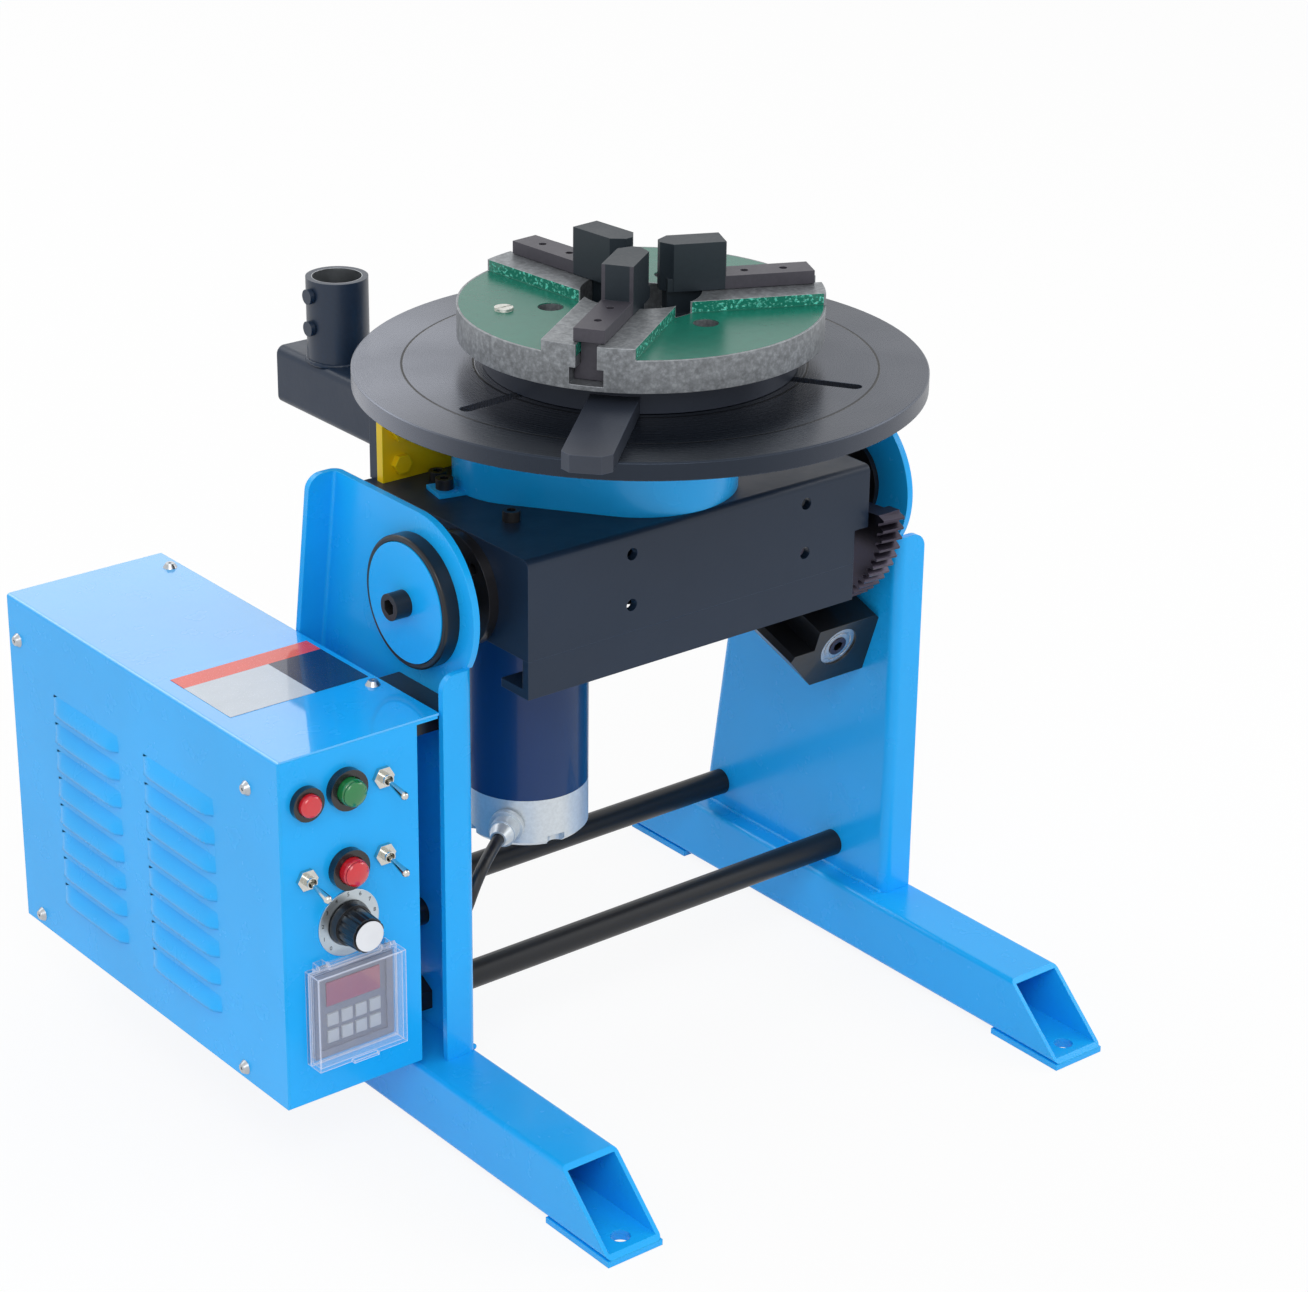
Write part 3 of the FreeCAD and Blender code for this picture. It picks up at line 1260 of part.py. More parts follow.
def motor_end_cap():
    """Die-cast end cap with four screw notches."""
    mx, my = motor_place
    top = motor_bottom + motor_cap_height
    cap = rod(motor_diameter / 2, (mx, my, motor_bottom), (mx, my, top))
    low = [e for e in cap.Edges if abs(e.Vertexes[0].Z - motor_bottom) < 0.01 and e.Length > 50]
    cap = cap.makeChamfer(2.5, low)
    for k in range(4):
        a = math.radians(plug_angle + 45 + 90 * k)
        cx, cy = mx + motor_diameter / 2 * math.cos(a), my + motor_diameter / 2 * math.sin(a)
        cap = cap.cut(rod(5.5, (cx, cy, motor_bottom - 1), (cx, cy, motor_bottom + 6)))
    plug = V(math.cos(math.radians(plug_angle)), math.sin(math.radians(plug_angle)), 0)
    seat = V(mx, my, plug_z) + plug * (motor_diameter / 2)
    return cap.cut(rod(plug_radius + 0.1, seat - plug * 5, seat + plug * 3))


plug_angle = 217.0
plug_z = 135.0
plug_radius = 8.0
plug_length = 13.0


def motor_plug():
    """Round threaded connector on the end cap with its cable clamp."""
    mx, my = motor_place
    way = V(math.cos(math.radians(plug_angle)), math.sin(math.radians(plug_angle)), 0)
    start = V(mx, my, plug_z) + way * (motor_diameter / 2 - 5)
    end = start + way * (5 + plug_length)
    shell = rod(plug_radius, start, end)
    collar = rod(plug_radius + 2, start + way * 6.5, start + way * 10)
    back = Part.makeCone(plug_radius - 0.8, cable_diameter / 2 + 1.2, 7, end, way)
    bore = rod(cable_diameter / 2 + 0.1, end, end + way * 8)
    return join(shell, collar, back).cut(bore)


def gearbox():
    """Gear head under the deck with a boss through it and the foot of the motor."""
    mx, my = motor_place
    under = carriage_top - carriage_deck
    neck = rod(gear_neck_diameter / 2, (mx, my, motor_top), (mx, my, under))
    mount = rod(motor_diameter / 2 - 1, (mx, my, motor_top), (mx, my, motor_top + gear_flange_height))
    boss = rod(motor_boss / 2, (mx, my, under), (mx, my, carriage_top - 0.3))
    bore = rod(output_shaft / 2 + running_gap, (mx, my, gear_low - 27), (mx, my, gear_top))
    return join(neck, mount, boss).cut(bore)


# ---------------------------------------------------------------- column holder
def arm_bracket():
    """Upright angle at the rear of the deck."""
    y0 = arm_start - arm_plate_thickness - bracket_thickness
    upright = box(bracket_left, bracket_right, y0, y0 + bracket_thickness, carriage_top, carriage_top + bracket_height)
    bracket = upright
    for x, z in arm_bolt_places():
        bracket = bracket.cut(rod(3.2, (x, y0 - 1, z), (x, y0 + bracket_thickness + 1, z)))
    return bracket


def arm_bolt_places():
    return [(x, arm_bottom + z) for x in (-103.5, -47.5) for z in (9, 28)]


def arm_plate():
    """Flange welded on the front end of the arm."""
    y0 = arm_start - arm_plate_thickness
    top = carriage_top + bracket_height - 2
    plate = box(bracket_left, bracket_right, y0, arm_start, carriage_top, top)
    for x, z in arm_bolt_places():
        plate = plate.cut(rod(3.2, (x, y0 - 1, z), (x, arm_start + 1, z)))
    return plate


def arm_bolts():
    bolts = []
    y0 = arm_start - arm_plate_thickness - bracket_thickness
    for x, z in arm_bolt_places():
        if x < arm_x:
            shank = rod(3, (x, y0, z), (x, arm_start + 7, z))
            bolts.append(join(hexagon(10, (x, y0 - 4, z), (x, y0, z)), shank))
            bolts.append(nut(10, 6.1, (x, arm_start, z), (x, arm_start + 5, z)))
        else:
            shank = rod(3, (x, y0, z), (x, arm_start, z))
            bolts.append(join(hexagon(10, (x, arm_start, z), (x, arm_start + 4, z)), shank))
    return bolts


def column_arm():
    """Rectangular tube along the rear left of the machine, closed at its far end."""
    x0, x1 = arm_x - arm_width / 2, arm_x + arm_width / 2
    body = box(x0, x1, arm_start, arm_end, arm_bottom, arm_bottom + arm_height)
    along = [e for e in body.Edges if abs(e.Vertexes[0].Y - e.Vertexes[1].Y) > 10]
    body = body.makeFillet(5, along)
    w = arm_wall
    inner = box(x0 + w, x1 - w, arm_start - 1, arm_end - w, arm_bottom + w, arm_bottom + arm_height - w)
    return body.cut(inner)


def column_socket():
    """Round socket for the torch column, welded on the arm, split by two clamp screw holes."""
    z0 = arm_bottom + arm_height
    z1 = z0 + socket_height
    socket = tube(socket_outer / 2, socket_bore / 2, (arm_x, socket_y, z0), (arm_x, socket_y, z1))
    for z in clamp_heights:
        socket = socket.cut(rod(3.1, (arm_x, socket_y, z0 + z), (arm_x - socket_outer, socket_y, z0 + z)))
    return socket


clamp_heights = (socket_height - 9.0, socket_height - 28.0)


def clamp_screws():
    """Grub screws with short heads, backed out so that the bore is free."""
    screws = []
    for z in clamp_heights:
        h = arm_bottom + arm_height + z
        x = arm_x - socket_outer / 2
        screws.append(join(rod(3.0, (x + 3.4, socket_y, h), (x, socket_y, h)), rod(4.4, (x - 3, socket_y, h), (x - 0.1, socket_y, h))))
    return screws


# ---------------------------------------------------------------- chuck
def jaw_angles():
    return [jaw_first_angle + 120 * k for k in range(3)]


def sector_angles():
    return [jaw_first_angle + 60 + 120 * k for k in range(3)]


def chuck_screw_places():
    return [(26.5 * math.cos(math.radians(a)), spindle_y + 26.5 * math.sin(math.radians(a))) for a in sector_angles()]


def chuck_body():
    """Chuck body: rim, three raised guides with T-slots, open middle and a hub down to the table."""
    radius = chuck_diameter / 2
    disc = rod(radius, (0, spindle_y, chuck_bottom), (0, spindle_y, chuck_rim))
    hub = rod(chuck_hub, (0, spindle_y, table_top), (0, spindle_y, chuck_bottom))
    cap = rod(radius, (0, spindle_y, chuck_rim), (0, spindle_y, guide_top))
    guides = []
    for angle in jaw_angles():
        pad = box(0, radius, spindle_y - guide_width / 2, spindle_y + guide_width / 2, chuck_rim, guide_top)
        guides.append(about_spindle(pad, angle).common(cap))
    body = join(disc, hub, *guides)
    body = body.cut(rod(chuck_recess, (0, spindle_y, chuck_bottom), (0, spindle_y, guide_top + 1)))
    body = body.cut(rod(spindle_bore / 2, (0, spindle_y, table_top - 1), (0, spindle_y, guide_top)))
    trench = tube(scroll_outer + 2.5, chuck_hub, (0, spindle_y, chuck_bottom - 1), (0, spindle_y, tee_bottom))
    body = body.cut(trench)
    for angle in jaw_angles():
        stem = box(0, radius + 1, spindle_y - slot_width / 2, spindle_y + slot_width / 2, tee_bottom, guide_top + 1)
        tee = box(0, radius + 1, spindle_y - tee_width / 2, spindle_y + tee_width / 2, tee_bottom, tee_top)
        body = body.cut(about_spindle(stem, angle)).cut(about_spindle(tee, angle))
    for angle in sector_angles():
        a = math.radians(angle)
        x, y = 50 * math.cos(a), spindle_y + 50 * math.sin(a)
        body = body.cut(rod(7, (x, y, chuck_rim - 9), (x, y, chuck_rim + 1)))
    for x, y in chuck_screw_places():
        body = body.cut(rod(5.3, (x, y, chuck_bottom - 7), (x, y, chuck_bottom + 1)))
        body = body.cut(rod(3.1, (x, y, table_top - 1), (x, y, chuck_bottom)))
    return body


def chuck_screws():
    """Three socket screws through the hub into the table, one cheese-head screw in the rim."""
    screws = [socket_screw(6, 10, 6, (x, y, chuck_bottom - 7), (0, 0, -1), 18) for x, y in chuck_screw_places()]
    a = math.radians(sector_angles()[2])
    x, y = 75.7 * math.cos(a), spindle_y + 75.7 * math.sin(a)
    head = rod(5.2, (x, y, chuck_rim), (x, y, chuck_rim + 1.6))
    slot = box(x - 6, x + 6, y - 0.6, y + 0.6, chuck_rim + 0.8, chuck_rim + 2)
    screws.append(head.cut(slot))
    return screws


def scroll_plate():
    """Scroll ring around the hub: a spiral ridge on top drives the three jaws."""
    ring = tube(scroll_outer + 2, chuck_hub + 0.3, (0, spindle_y, scroll_bottom), (0, spindle_y, scroll_face))
    return join(ring, spiral_ridge())


def spiral_ridge():
    """Archimedean ridge built as one flat spiral band, then pushed up."""
    turns = (scroll_outer - scroll_inner) / scroll_pitch
    steps = int(turns * 40)
    inner, outer = [], []
    for k in range(steps + 1):
        angle = 2 * math.pi * turns * k / steps
        middle = scroll_inner + scroll_pitch * angle / (2 * math.pi)
        for row, offset in ((inner, -ridge_width / 2), (outer, ridge_width / 2)):
            row.append((( middle + offset) * math.cos(angle), spindle_y + (middle + offset) * math.sin(angle), scroll_face))
    band = prism(inner + outer[::-1], (0, 0, ridge_height))
    return about_spindle(band, jaw_first_angle)


def scroll_lever():
    """Flat bar that turns the scroll; its end is chamfered."""
    half, end = lever_width / 2, 5
    start = scroll_outer + 2.3
    points = [(start - 4, spindle_y - half), (lever_reach - end, spindle_y - half), (lever_reach, spindle_y - half + end),
              (lever_reach, spindle_y + half - end), (lever_reach - end, spindle_y + half), (start - 4, spindle_y + half)]
    bar = prism([(x, y, scroll_bottom) for x, y in points], (0, 0, lever_thickness))
    bar = bar.cut(rod(scroll_outer + 2.0, (0, spindle_y, scroll_bottom - 1), (0, spindle_y, scroll_face)))
    return about_spindle(bar, lever_angle)


def jaw(index):
    """One jaw: T-shaped slide with scroll teeth below, a bar on top and the gripping block."""
    gap = slide_gap
    base_in, base_out = jaw_face + 3.5, jaw_bar_end - 4
    foot_part = box(base_in, base_out, spindle_y - tee_width / 2 + gap, spindle_y + tee_width / 2 - gap,
                    tee_bottom + gap, tee_top - gap)
    stem = box(base_in, base_out, spindle_y - slot_width / 2 + gap, spindle_y + slot_width / 2 - gap,
               tee_bottom + gap, guide_top + gap + 1)
    bar = box(jaw_face + 3, jaw_bar_end, spindle_y - jaw_bar_width / 2, spindle_y + jaw_bar_width / 2,
              guide_top + gap, jaw_bar_top)
    block = jaw_block()
    solid = join(foot_part, stem, bar, block)
    for r in (57.5, 79.5):
        solid = solid.cut(rod(2.2, (r, spindle_y, jaw_bar_top - 6), (r, spindle_y, jaw_bar_top + 1)))
    first = scroll_inner + scroll_pitch * (120.0 * index / 360.0 + 0.5)
    for k in range(jaw_teeth):
        r = first + k * scroll_pitch
        tooth = box(r - 1.5, r + 1.5, spindle_y - 5, spindle_y + 5, scroll_face + 0.4, tee_bottom + gap + 1)
        solid = solid.fuse(tooth)
    return about_spindle(solid.removeSplitter(), jaw_first_angle + 120 * index)


jaw_teeth = 2


def jaw_block():
    """Gripping block with a two-faced nose and chamfered upper edges."""
    half = jaw_bar_width / 2 + 0.3
    nose = 2.5
    points = [(jaw_face, spindle_y - nose), (jaw_face + half - nose, spindle_y - half), (jaw_block_end, spindle_y - half),
              (jaw_block_end, spindle_y + half), (jaw_face + half - nose, spindle_y + half), (jaw_face, spindle_y + nose)]
    return prism([(x, y, guide_top + slide_gap) for x, y in points], (0, 0, jaw_block_top - guide_top - slide_gap))


# ---------------------------------------------------------------- motor cable
def plug_exit():
    mx, my = motor_place
    way = V(math.cos(math.radians(plug_angle)), math.sin(math.radians(plug_angle)), 0)
    return V(mx, my, plug_z) + way * (motor_diameter / 2 + plug_length), way


cable_points = [(-133.0, 2.0, 96.0), (-128.0, 42.0, 77.0), (-126.0, 97.0, 80.0), (-127.0, 150.0, 88.0)]
cable_lead_out = 39.0         # straight lengths before the first and last bends
cable_lead_in = 44.0


def motor_cable():
    """Cable from the motor plug round the rear of the left plate into the box."""
    start, way = plug_exit()
    y, z = cable_entry
    end = V(box_right + 6, y, z)
    points = [start, start + way * cable_lead_out] + [V(*p) for p in cable_points]
    points += [end + V(cable_lead_in, 0, 0), end]
    edges = []
    last = points[0]
    length = 0.0
    for k in range(1, len(points) - 1):
        a, b, c = points[k - 1], points[k], points[k + 1]
        into, out = b - a, c - b
        turn_angle = into.getAngle(out)
        radius = 0.45 * min(into.Length, out.Length) / math.tan(turn_angle / 2)
        print("cable bend", k, "radius", round(radius, 1), "turn", round(math.degrees(turn_angle), 1))
        trim = 0.45 * min(into.Length, out.Length)
        into.normalize()
        out.normalize()
        p, q = b - into * trim, b + out * trim
        inward = out - into
        inward.normalize()
        middle = b + inward * (radius / math.cos(turn_angle / 2) - radius)
        edges += [Part.makeLine(last, p), Part.Arc(p, middle, q).toShape()]
        length += (p - last).Length + radius * turn_angle
        last = q
    edges.append(Part.makeLine(last, points[-1]))
    length += (points[-1] - last).Length
    path = Part.Wire(edges)
    ring = Part.Wire(Part.makeCircle(cable_diameter / 2, points[0], points[1] - points[0]))
    cable = path.makePipeShell([ring], True, False)
    section = math.pi * cable_diameter ** 2 / 4
    print("cable length", round(length, 1), "volume ratio", round(cable.Volume / (section * length), 4))
    return cable


# ---------------------------------------------------------------- build
save("feet", foot(-1), foot(1))
save("foot_pads", *foot_pads())
save("left_side_plate", left_plate())
save("right_side_plate", right_plate())
save("tie_rods", tie_rod(front_rod_y), tie_rod(rear_rod_y))
save("tie_rod_nuts", *tie_rod_nuts())
save("tilt_bushes", tilt_bush(left_web, 1), tilt_bush(right_web, -1))
save("hub_ring", hub_ring())
save("control_chassis", control_chassis())
save("control_cover", control_cover())
save("cover_screws", *cover_screws())
save("control_spacers", *control_spacers())
save("control_bolts", *control_bolts())
lamp_body, lamp_nut, lamp_lens = panel_lamp()
save("lamp_body", lamp_body, lamp_nut)
save("lamp_lens", lamp_lens)
save("button_bezels", button_bezel(start_place), button_bezel(stop_place))
save("start_button", button_cap(start_place))
save("stop_button", button_cap(stop_place))
save("toggle_switches", *[toggle_body(p) for p in toggle_places], *toggle_nuts())
for number, place in enumerate(toggle_places):
    save("toggle_lever_%d" % (number + 1), toggle_lever(place))
save("dial_plate", dial_plate())
save("potentiometer", potentiometer())
save("speed_knob", speed_knob(), knob_cap())
save("timer_body", timer_body())
save("timer_display", timer_display())
save("timer_keys", *timer_keys())
save("timer_frame", timer_frame())
save("timer_lid", timer_lid())
save("control_electronics", *power_supply(), control_board())
save("rear_connectors", mains_inlet(), pedal_socket(), cable_gland())
save("motor_cable", motor_cable())
save("worm_housing", worm_housing(), *housing_bolts())
save("worm_bearings", *worm_bearings())
save("tilt_worm", worm())
save("carriage", carriage())
save("carriage_skirt", carriage_skirt())
save("trunnions", trunnion(-1), trunnion(1))
save("hub_cap", hub_cap())
save("hub_bolts", *hub_bolts())
save("tilt_sector", tilt_sector())
save("spindle_housing", spindle_housing())
save("spindle_bearings", *spindle_bearings())
save("gear_guard", gear_guard())
save("deck_bolts", *deck_bolts())
save("motor_body", motor_body(), gearbox())
save("motor_end_cap", motor_end_cap(), motor_plug())
save("arm_bracket", arm_bracket(), *arm_bolts())
save("column_arm", column_arm(), arm_plate())
save("column_socket", column_socket(), *clamp_screws())
save("spindle", bored_spindle(), spindle_nut(), spindle_gear())
save("drive_pinion", drive_pinion())
save("table", table(), *table_bolts())
save("chuck_body", chuck_body(), *chuck_screws())
save("scroll_plate", scroll_plate(), scroll_lever())
for number in range(3):
    save("chuck_jaw_%d" % (number + 1), jaw(number))
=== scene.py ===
"""Looks of a bench welding positioner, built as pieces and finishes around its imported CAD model."""

import math

import bmesh
import bpy
from mathutils import Matrix, Vector


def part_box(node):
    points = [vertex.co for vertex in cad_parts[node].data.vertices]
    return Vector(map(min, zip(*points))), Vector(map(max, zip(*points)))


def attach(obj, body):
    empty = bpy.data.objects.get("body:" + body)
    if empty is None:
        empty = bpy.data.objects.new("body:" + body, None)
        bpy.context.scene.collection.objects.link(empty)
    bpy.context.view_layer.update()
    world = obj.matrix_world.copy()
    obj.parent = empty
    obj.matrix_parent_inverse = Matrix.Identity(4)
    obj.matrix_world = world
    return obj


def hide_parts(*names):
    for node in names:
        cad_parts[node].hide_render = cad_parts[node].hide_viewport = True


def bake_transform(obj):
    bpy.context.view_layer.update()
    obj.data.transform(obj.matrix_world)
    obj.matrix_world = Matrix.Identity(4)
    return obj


bl_info = {
    "name": "Welding Positioner",
    "version": (1, 0, 0),
    "blender": (4, 5, 0),
    "location": "View3D > Sidebar > Positioner",
    "description": "Finishes and fine pieces of a bench welding positioner",
    "category": "Add Mesh",
}

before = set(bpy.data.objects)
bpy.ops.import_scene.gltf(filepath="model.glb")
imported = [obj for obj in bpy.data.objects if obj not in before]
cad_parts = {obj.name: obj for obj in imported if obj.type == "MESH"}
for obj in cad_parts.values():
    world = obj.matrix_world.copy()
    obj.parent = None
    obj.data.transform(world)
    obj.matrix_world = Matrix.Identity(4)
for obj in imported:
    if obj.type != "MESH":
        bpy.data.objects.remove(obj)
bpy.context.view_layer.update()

# places of the CAD model that masks in the finishes follow, in metres
spindle_y = 0.012
table_groove_floor = 0.4012       # only the table's top face lies above it
socket_axis = (-0.072, 0.200)
socket_bore_edge = 0.0146
jaw_block_edge = 0.0455           # the jaws' blocks lie inside this radius, their bars outside
rim_screw = {"bearing": math.radians(155), "circle": 0.0757, "radius": 0.0054, "above": 0.43575}


# ---------------------------------------------------------------- colours
def srgb(red, green, blue):
    """A colour as it is seen, in eight-bit steps, as the linear values that a shader takes."""
    def linear(v):
        v = v / 255
        return v / 12.92 if v <= 0.04045 else ((v + 0.055) / 1.055) ** 2.4
    return (linear(red), linear(green), linear(blue))


def shade(colour, factor):
    """A colour made lighter or darker, kept within white."""
    return tuple(min(1.0, c * factor) for c in colour)


# ---------------------------------------------------------------- shader sockets
class Wire:
    """One output socket; arithmetic on it adds Math nodes to its material."""

    def __init__(self, tree, socket=None):
        self.tree, self.socket = tree, socket

    def node(self, kind, settings=None, inputs=None, output=0):
        made = self.tree.nodes.new(kind)
        for name, value in (settings or {}).items():
            setattr(made, name, value)
        for name, value in (inputs or {}).items():
            if isinstance(value, Wire):
                self.tree.links.new(value.socket, made.inputs[name])
            else:
                made.inputs[name].default_value = value
        return Wire(self.tree, made.outputs[output])

    def math(self, operation, *values):
        return self.node("ShaderNodeMath", {"operation": operation}, dict(enumerate(values)))

    def __add__(self, other):
        return self.math("ADD", self, other)

    __radd__ = __add__

    def __mul__(self, other):
        return self.math("MULTIPLY", self, other)

    __rmul__ = __mul__

    def __sub__(self, other):
        return self.math("SUBTRACT", self, other)

    def __rsub__(self, other):
        return self.math("SUBTRACT", other, self)

    def __truediv__(self, other):
        return self.math("DIVIDE", self, other)

    def __lt__(self, other):
        return self.math("LESS_THAN", self, other)

    def __gt__(self, other):
        return self.math("GREATER_THAN", self, other)

    def __and__(self, other):
        return self.math("MULTIPLY", self, other)

    def __or__(self, other):
        return self.math("MAXIMUM", self, other)

    def __abs__(self):
        return self.math("ABSOLUTE", self)

    def rise(self, low, high):
        """0 below low, 1 above high, smooth between."""
        settings = {"interpolation_type": "SMOOTHSTEP"}
        return self.node("ShaderNodeMapRange", settings, {0: self, 1: low, 2: high, 3: 0.0, 4: 1.0})

    def span(self, low, high):
        """A 0 to 1 value spread from low to high."""
        return self * (high - low) + low

    def mix(self, first, second):
        """Colours blended by this value."""
        pair = [c if isinstance(c, Wire) else (*c, 1) for c in (first, second)]
        return self.node("ShaderNodeMix", {"data_type": "RGBA"}, {0: self, 6: pair[0], 7: pair[1]}, output=2)


class Finish:
    """A material with its Principled shader, a place in space and the usual textures."""

    def __init__(self, name):
        self.material = bpy.data.materials.new(name)
        self.material.use_nodes = True
        self.tree = self.material.node_tree
        self.shader = self.tree.nodes["Principled BSDF"]
        self.start = Wire(self.tree)
        self.place = self.start.node("ShaderNodeTexCoord", output="Object")

    def noise(self, scale, detail=2.0, rough=0.5, stretch=(1, 1, 1), where=None):
        where = self.place if where is None else where
        if stretch != (1, 1, 1):
            where = where.node("ShaderNodeMapping", None, {"Vector": where, "Scale": stretch})
        return self.start.node("ShaderNodeTexNoise", None,
                               {"Vector": where, "Scale": scale, "Detail": detail, "Roughness": rough})

    def speckle(self, scale, where=None):
        where = self.place if where is None else where
        return self.start.node("ShaderNodeTexVoronoi", None, {"Vector": where, "Scale": scale})

    def axis(self, letter):
        return self.start.node("ShaderNodeSeparateXYZ", None, {0: self.place}, output="XYZ".index(letter))

    def distance(self, x=None, y=None, z=None):
        """Distance from a line parallel to the axis that is left out."""
        parts = []
        for letter, value in (("X", x), ("Y", y), ("Z", z)):
            if value is not None:
                parts.append(self.axis(letter) - value)
        total = parts[0] * parts[0]
        for part in parts[1:]:
            total = total + part * part
        return total.math("SQRT", total)

    def edges(self, radius, sharp=0.5):
        """1 on the edges of the shape, 0 on its flats."""
        rounded = self.start.node("ShaderNodeBevel", {"samples": 6}, {"Radius": radius})
        flat = self.start.node("ShaderNodeNewGeometry", output="Normal")
        same = self.start.node("ShaderNodeVectorMath", {"operation": "DOT_PRODUCT"}, {0: rounded, 1: flat},
                               output="Value")
        return (1.0 - same).rise(0.01, sharp * 0.3)

    def bump(self, height, distance, strength=1.0, radius=None):
        inputs = {"Height": height, "Distance": distance, "Strength": strength}
        if radius:
            inputs["Normal"] = self.start.node("ShaderNodeBevel", {"samples": 6}, {"Radius": radius})
        self.set("Normal", self.start.node("ShaderNodeBump", None, inputs))

    def set(self, name, value):
        if isinstance(value, Wire):
            self.tree.links.new(value.socket, self.shader.inputs[name])
        elif isinstance(value, tuple):
            self.shader.inputs[name].default_value = (*value, 1) if len(value) == 3 else value
        else:
            self.shader.inputs[name].default_value = value
        return self


# ---------------------------------------------------------------- finishes
def gloss_paint(name, colour, rough=0.24, edge=0.0005, coat=0.08, wear=1.25, shine=0.3, glossy_above=None):
    """Powder coat: faint orange peel, thin lighter edges, slow change of tone; a lid has a deeper gloss."""
    f = Finish(name)
    tone = f.noise(9, 3).rise(0.25, 0.75)
    body = tone.mix(shade(colour, 0.94), shade(colour, 1.05))
    specks = f.noise(420, 2).rise(0.62, 0.8) * 0.25
    body = specks.mix(body, shade(colour, 1.12))
    # the thin band along the edges is made lighter by a set factor
    body = (f.edges(edge * 1.4) * 0.55).mix(body, shade(colour, wear))
    f.set("Base Color", body)
    f.set("Roughness", f.noise(60, 3).span(rough * 0.8, rough * 1.35))
    f.set("Specular IOR Level", shine)
    f.set("Coat Weight", coat if glossy_above is None else (f.axis("Z") > glossy_above).span(coat, 1.0))
    f.set("Coat Roughness", 0.04)
    f.set("Coat IOR", 1.5 if glossy_above is None else 1.95)
    f.bump(f.noise(330, 1), 0.00012, 0.35, edge)
    return f.material


def two_metals(name, base, other, where, rough=0.3, metal=(1.0, 1.0)):
    """One cast or turned piece in two finishes; where(finish) is 1 on the second."""
    f = Finish(name)
    second = where(f)
    marks = f.noise(420, 3, 0.6)
    tone = f.noise(30, 4)
    first = marks.mix(shade(base, 0.8), shade(base, 1.12))
    last = marks.mix(shade(other, 0.8), shade(other, 1.12))
    body = second.mix(first, last)
    body = (f.edges(0.0005) * 0.4).mix(body, second.mix(shade(base, 1.4), shade(other, 1.3)))
    f.set("Base Color", body)
    f.set("Metallic", second.span(metal[0], metal[1]))
    f.set("Roughness", (marks * 0.5 + tone * 0.5).span(rough * 0.7, rough * 1.4))
    f.bump(marks, 0.00006, 0.5, 0.0003)
    return f.material


def bare_metal(name, colour, rough=0.3, grain=(1, 1, 1), grain_scale=500, edge=0.0003, metal=1.0):
    """Machined or plated metal: fine tool marks along one way, brighter edges, dull patches."""
    f = Finish(name)
    marks = f.noise(grain_scale, 3, 0.6, grain)
    tone = f.noise(30, 4)
    body = marks.mix(shade(colour, 0.78), shade(colour, 1.12))
    body = (tone.rise(0.35, 0.75) * 0.4).mix(body, shade(colour, 0.82))
    body = (f.edges(edge * 1.5) * 0.6).mix(body, shade(colour, 1.35))
    f.set("Base Color", body)
    f.set("Metallic", metal)
    f.set("Roughness", (marks * 0.6 + tone * 0.4).span(rough * 0.7, rough * 1.4))
    f.bump(marks, 0.00006, 0.5, edge)
    return f.material


def satin_black(name, colour, rough=0.4):
    """Blackened or satin enamelled steel with a faint grain."""
    f = Finish(name)
    tone = f.noise(25, 4)
    grain = f.noise(700, 2)
    body = tone.mix(shade(colour, 0.8), shade(colour, 1.25))
    body = (f.edges(0.0006) * 0.5).mix(body, shade(colour, 3.0))
    f.set("Base Color", body)
    f.set("Metallic", 0.25)
    f.set("Roughness", (tone * 0.5 + grain * 0.5).span(rough * 0.75, rough * 1.3))
    f.bump(grain, 0.00008, 0.5, 0.0004)
    return f.material


def moulded(name, colour, rough=0.35, grain=0.4, edge=0.0003, clear=0.0):
    """Moulded plastic with a fine spark-eroded grain."""
    f = Finish(name)
    tone = f.noise(90, 2)
    grains = f.noise(1500, 2)
    body = tone.mix(shade(colour, 0.92), shade(colour, 1.06))
    body = (f.edges(edge) * 0.4).mix(body, shade(colour, 1.3))
    f.set("Base Color", body)
    f.set("Roughness", grains.span(rough * 0.8, rough * 1.25))
    f.set("Coat Weight", clear)
    f.bump(grains, 0.00005, grain, edge)
    return f.material


def clear_cover(name):
    """Clear moulded sheet with slight haze; its edges are made less clear, a painted highlight of the light that
    clear edges catch.
    """
    f = Finish(name)
    haze = f.noise(80, 3)
    f.set("Base Color", haze.mix((0.72, 0.76, 0.92), (0.86, 0.88, 0.98)))
    f.set("Roughness", haze.span(0.05, 0.14))
    # painted highlight: the edges are made less clear so that they show pale, as lit clear edges do
    f.set("Alpha", f.edges(0.0012, 0.4).span(0.1, 0.78))
    return f.material


def turned_table(name, colour):
    """Blackened turned plate: fine rings about the spindle, two engraved circles and a painted highlight of two
    lighter fans.
    """
    f = Finish(name)
    radius = f.distance(x=0.0, y=spindle_y)
    rings = radius.node("ShaderNodeTexNoise", {"noise_dimensions": "1D"},
                        {"W": radius, "Scale": 1500.0, "Detail": 3.0})
    slow = f.noise(14, 4)
    painted_highlight = turning_sheen(f, radius, math.radians(140))
    body = rings.mix(shade(colour, 0.86), shade(colour, 1.16))
    # painted highlight: the fans of reflection that a turned surface shows are painted into the colour, so they turn
    # with the table
    body = (painted_highlight * 0.75).mix(body, srgb(150, 154, 166))
    body = (slow.rise(0.35, 0.8) * 0.3).mix(body, shade(colour, 1.3))
    groove = None
    for place in engraved_circles():
        line = 1.0 - abs(radius - place).rise(0.0004, 0.0009)
        groove = line if groove is None else groove | line
    top = f.axis("Z") > table_groove_floor
    groove = groove & top
    body = groove.mix(body, shade(colour, 0.1))
    body = (f.edges(0.0009) * 0.7).mix(body, shade(colour, 2.6))
    f.set("Base Color", body)
    f.set("Metallic", 0.75)
    f.set("Anisotropic", 0.8)
    f.set("Roughness", (rings * 0.5 + slow * 0.5).span(0.2, 0.34))
    f.bump(rings * 0.25 - groove * 3.0, 0.00012, 0.6, 0.0005)
    return f.material


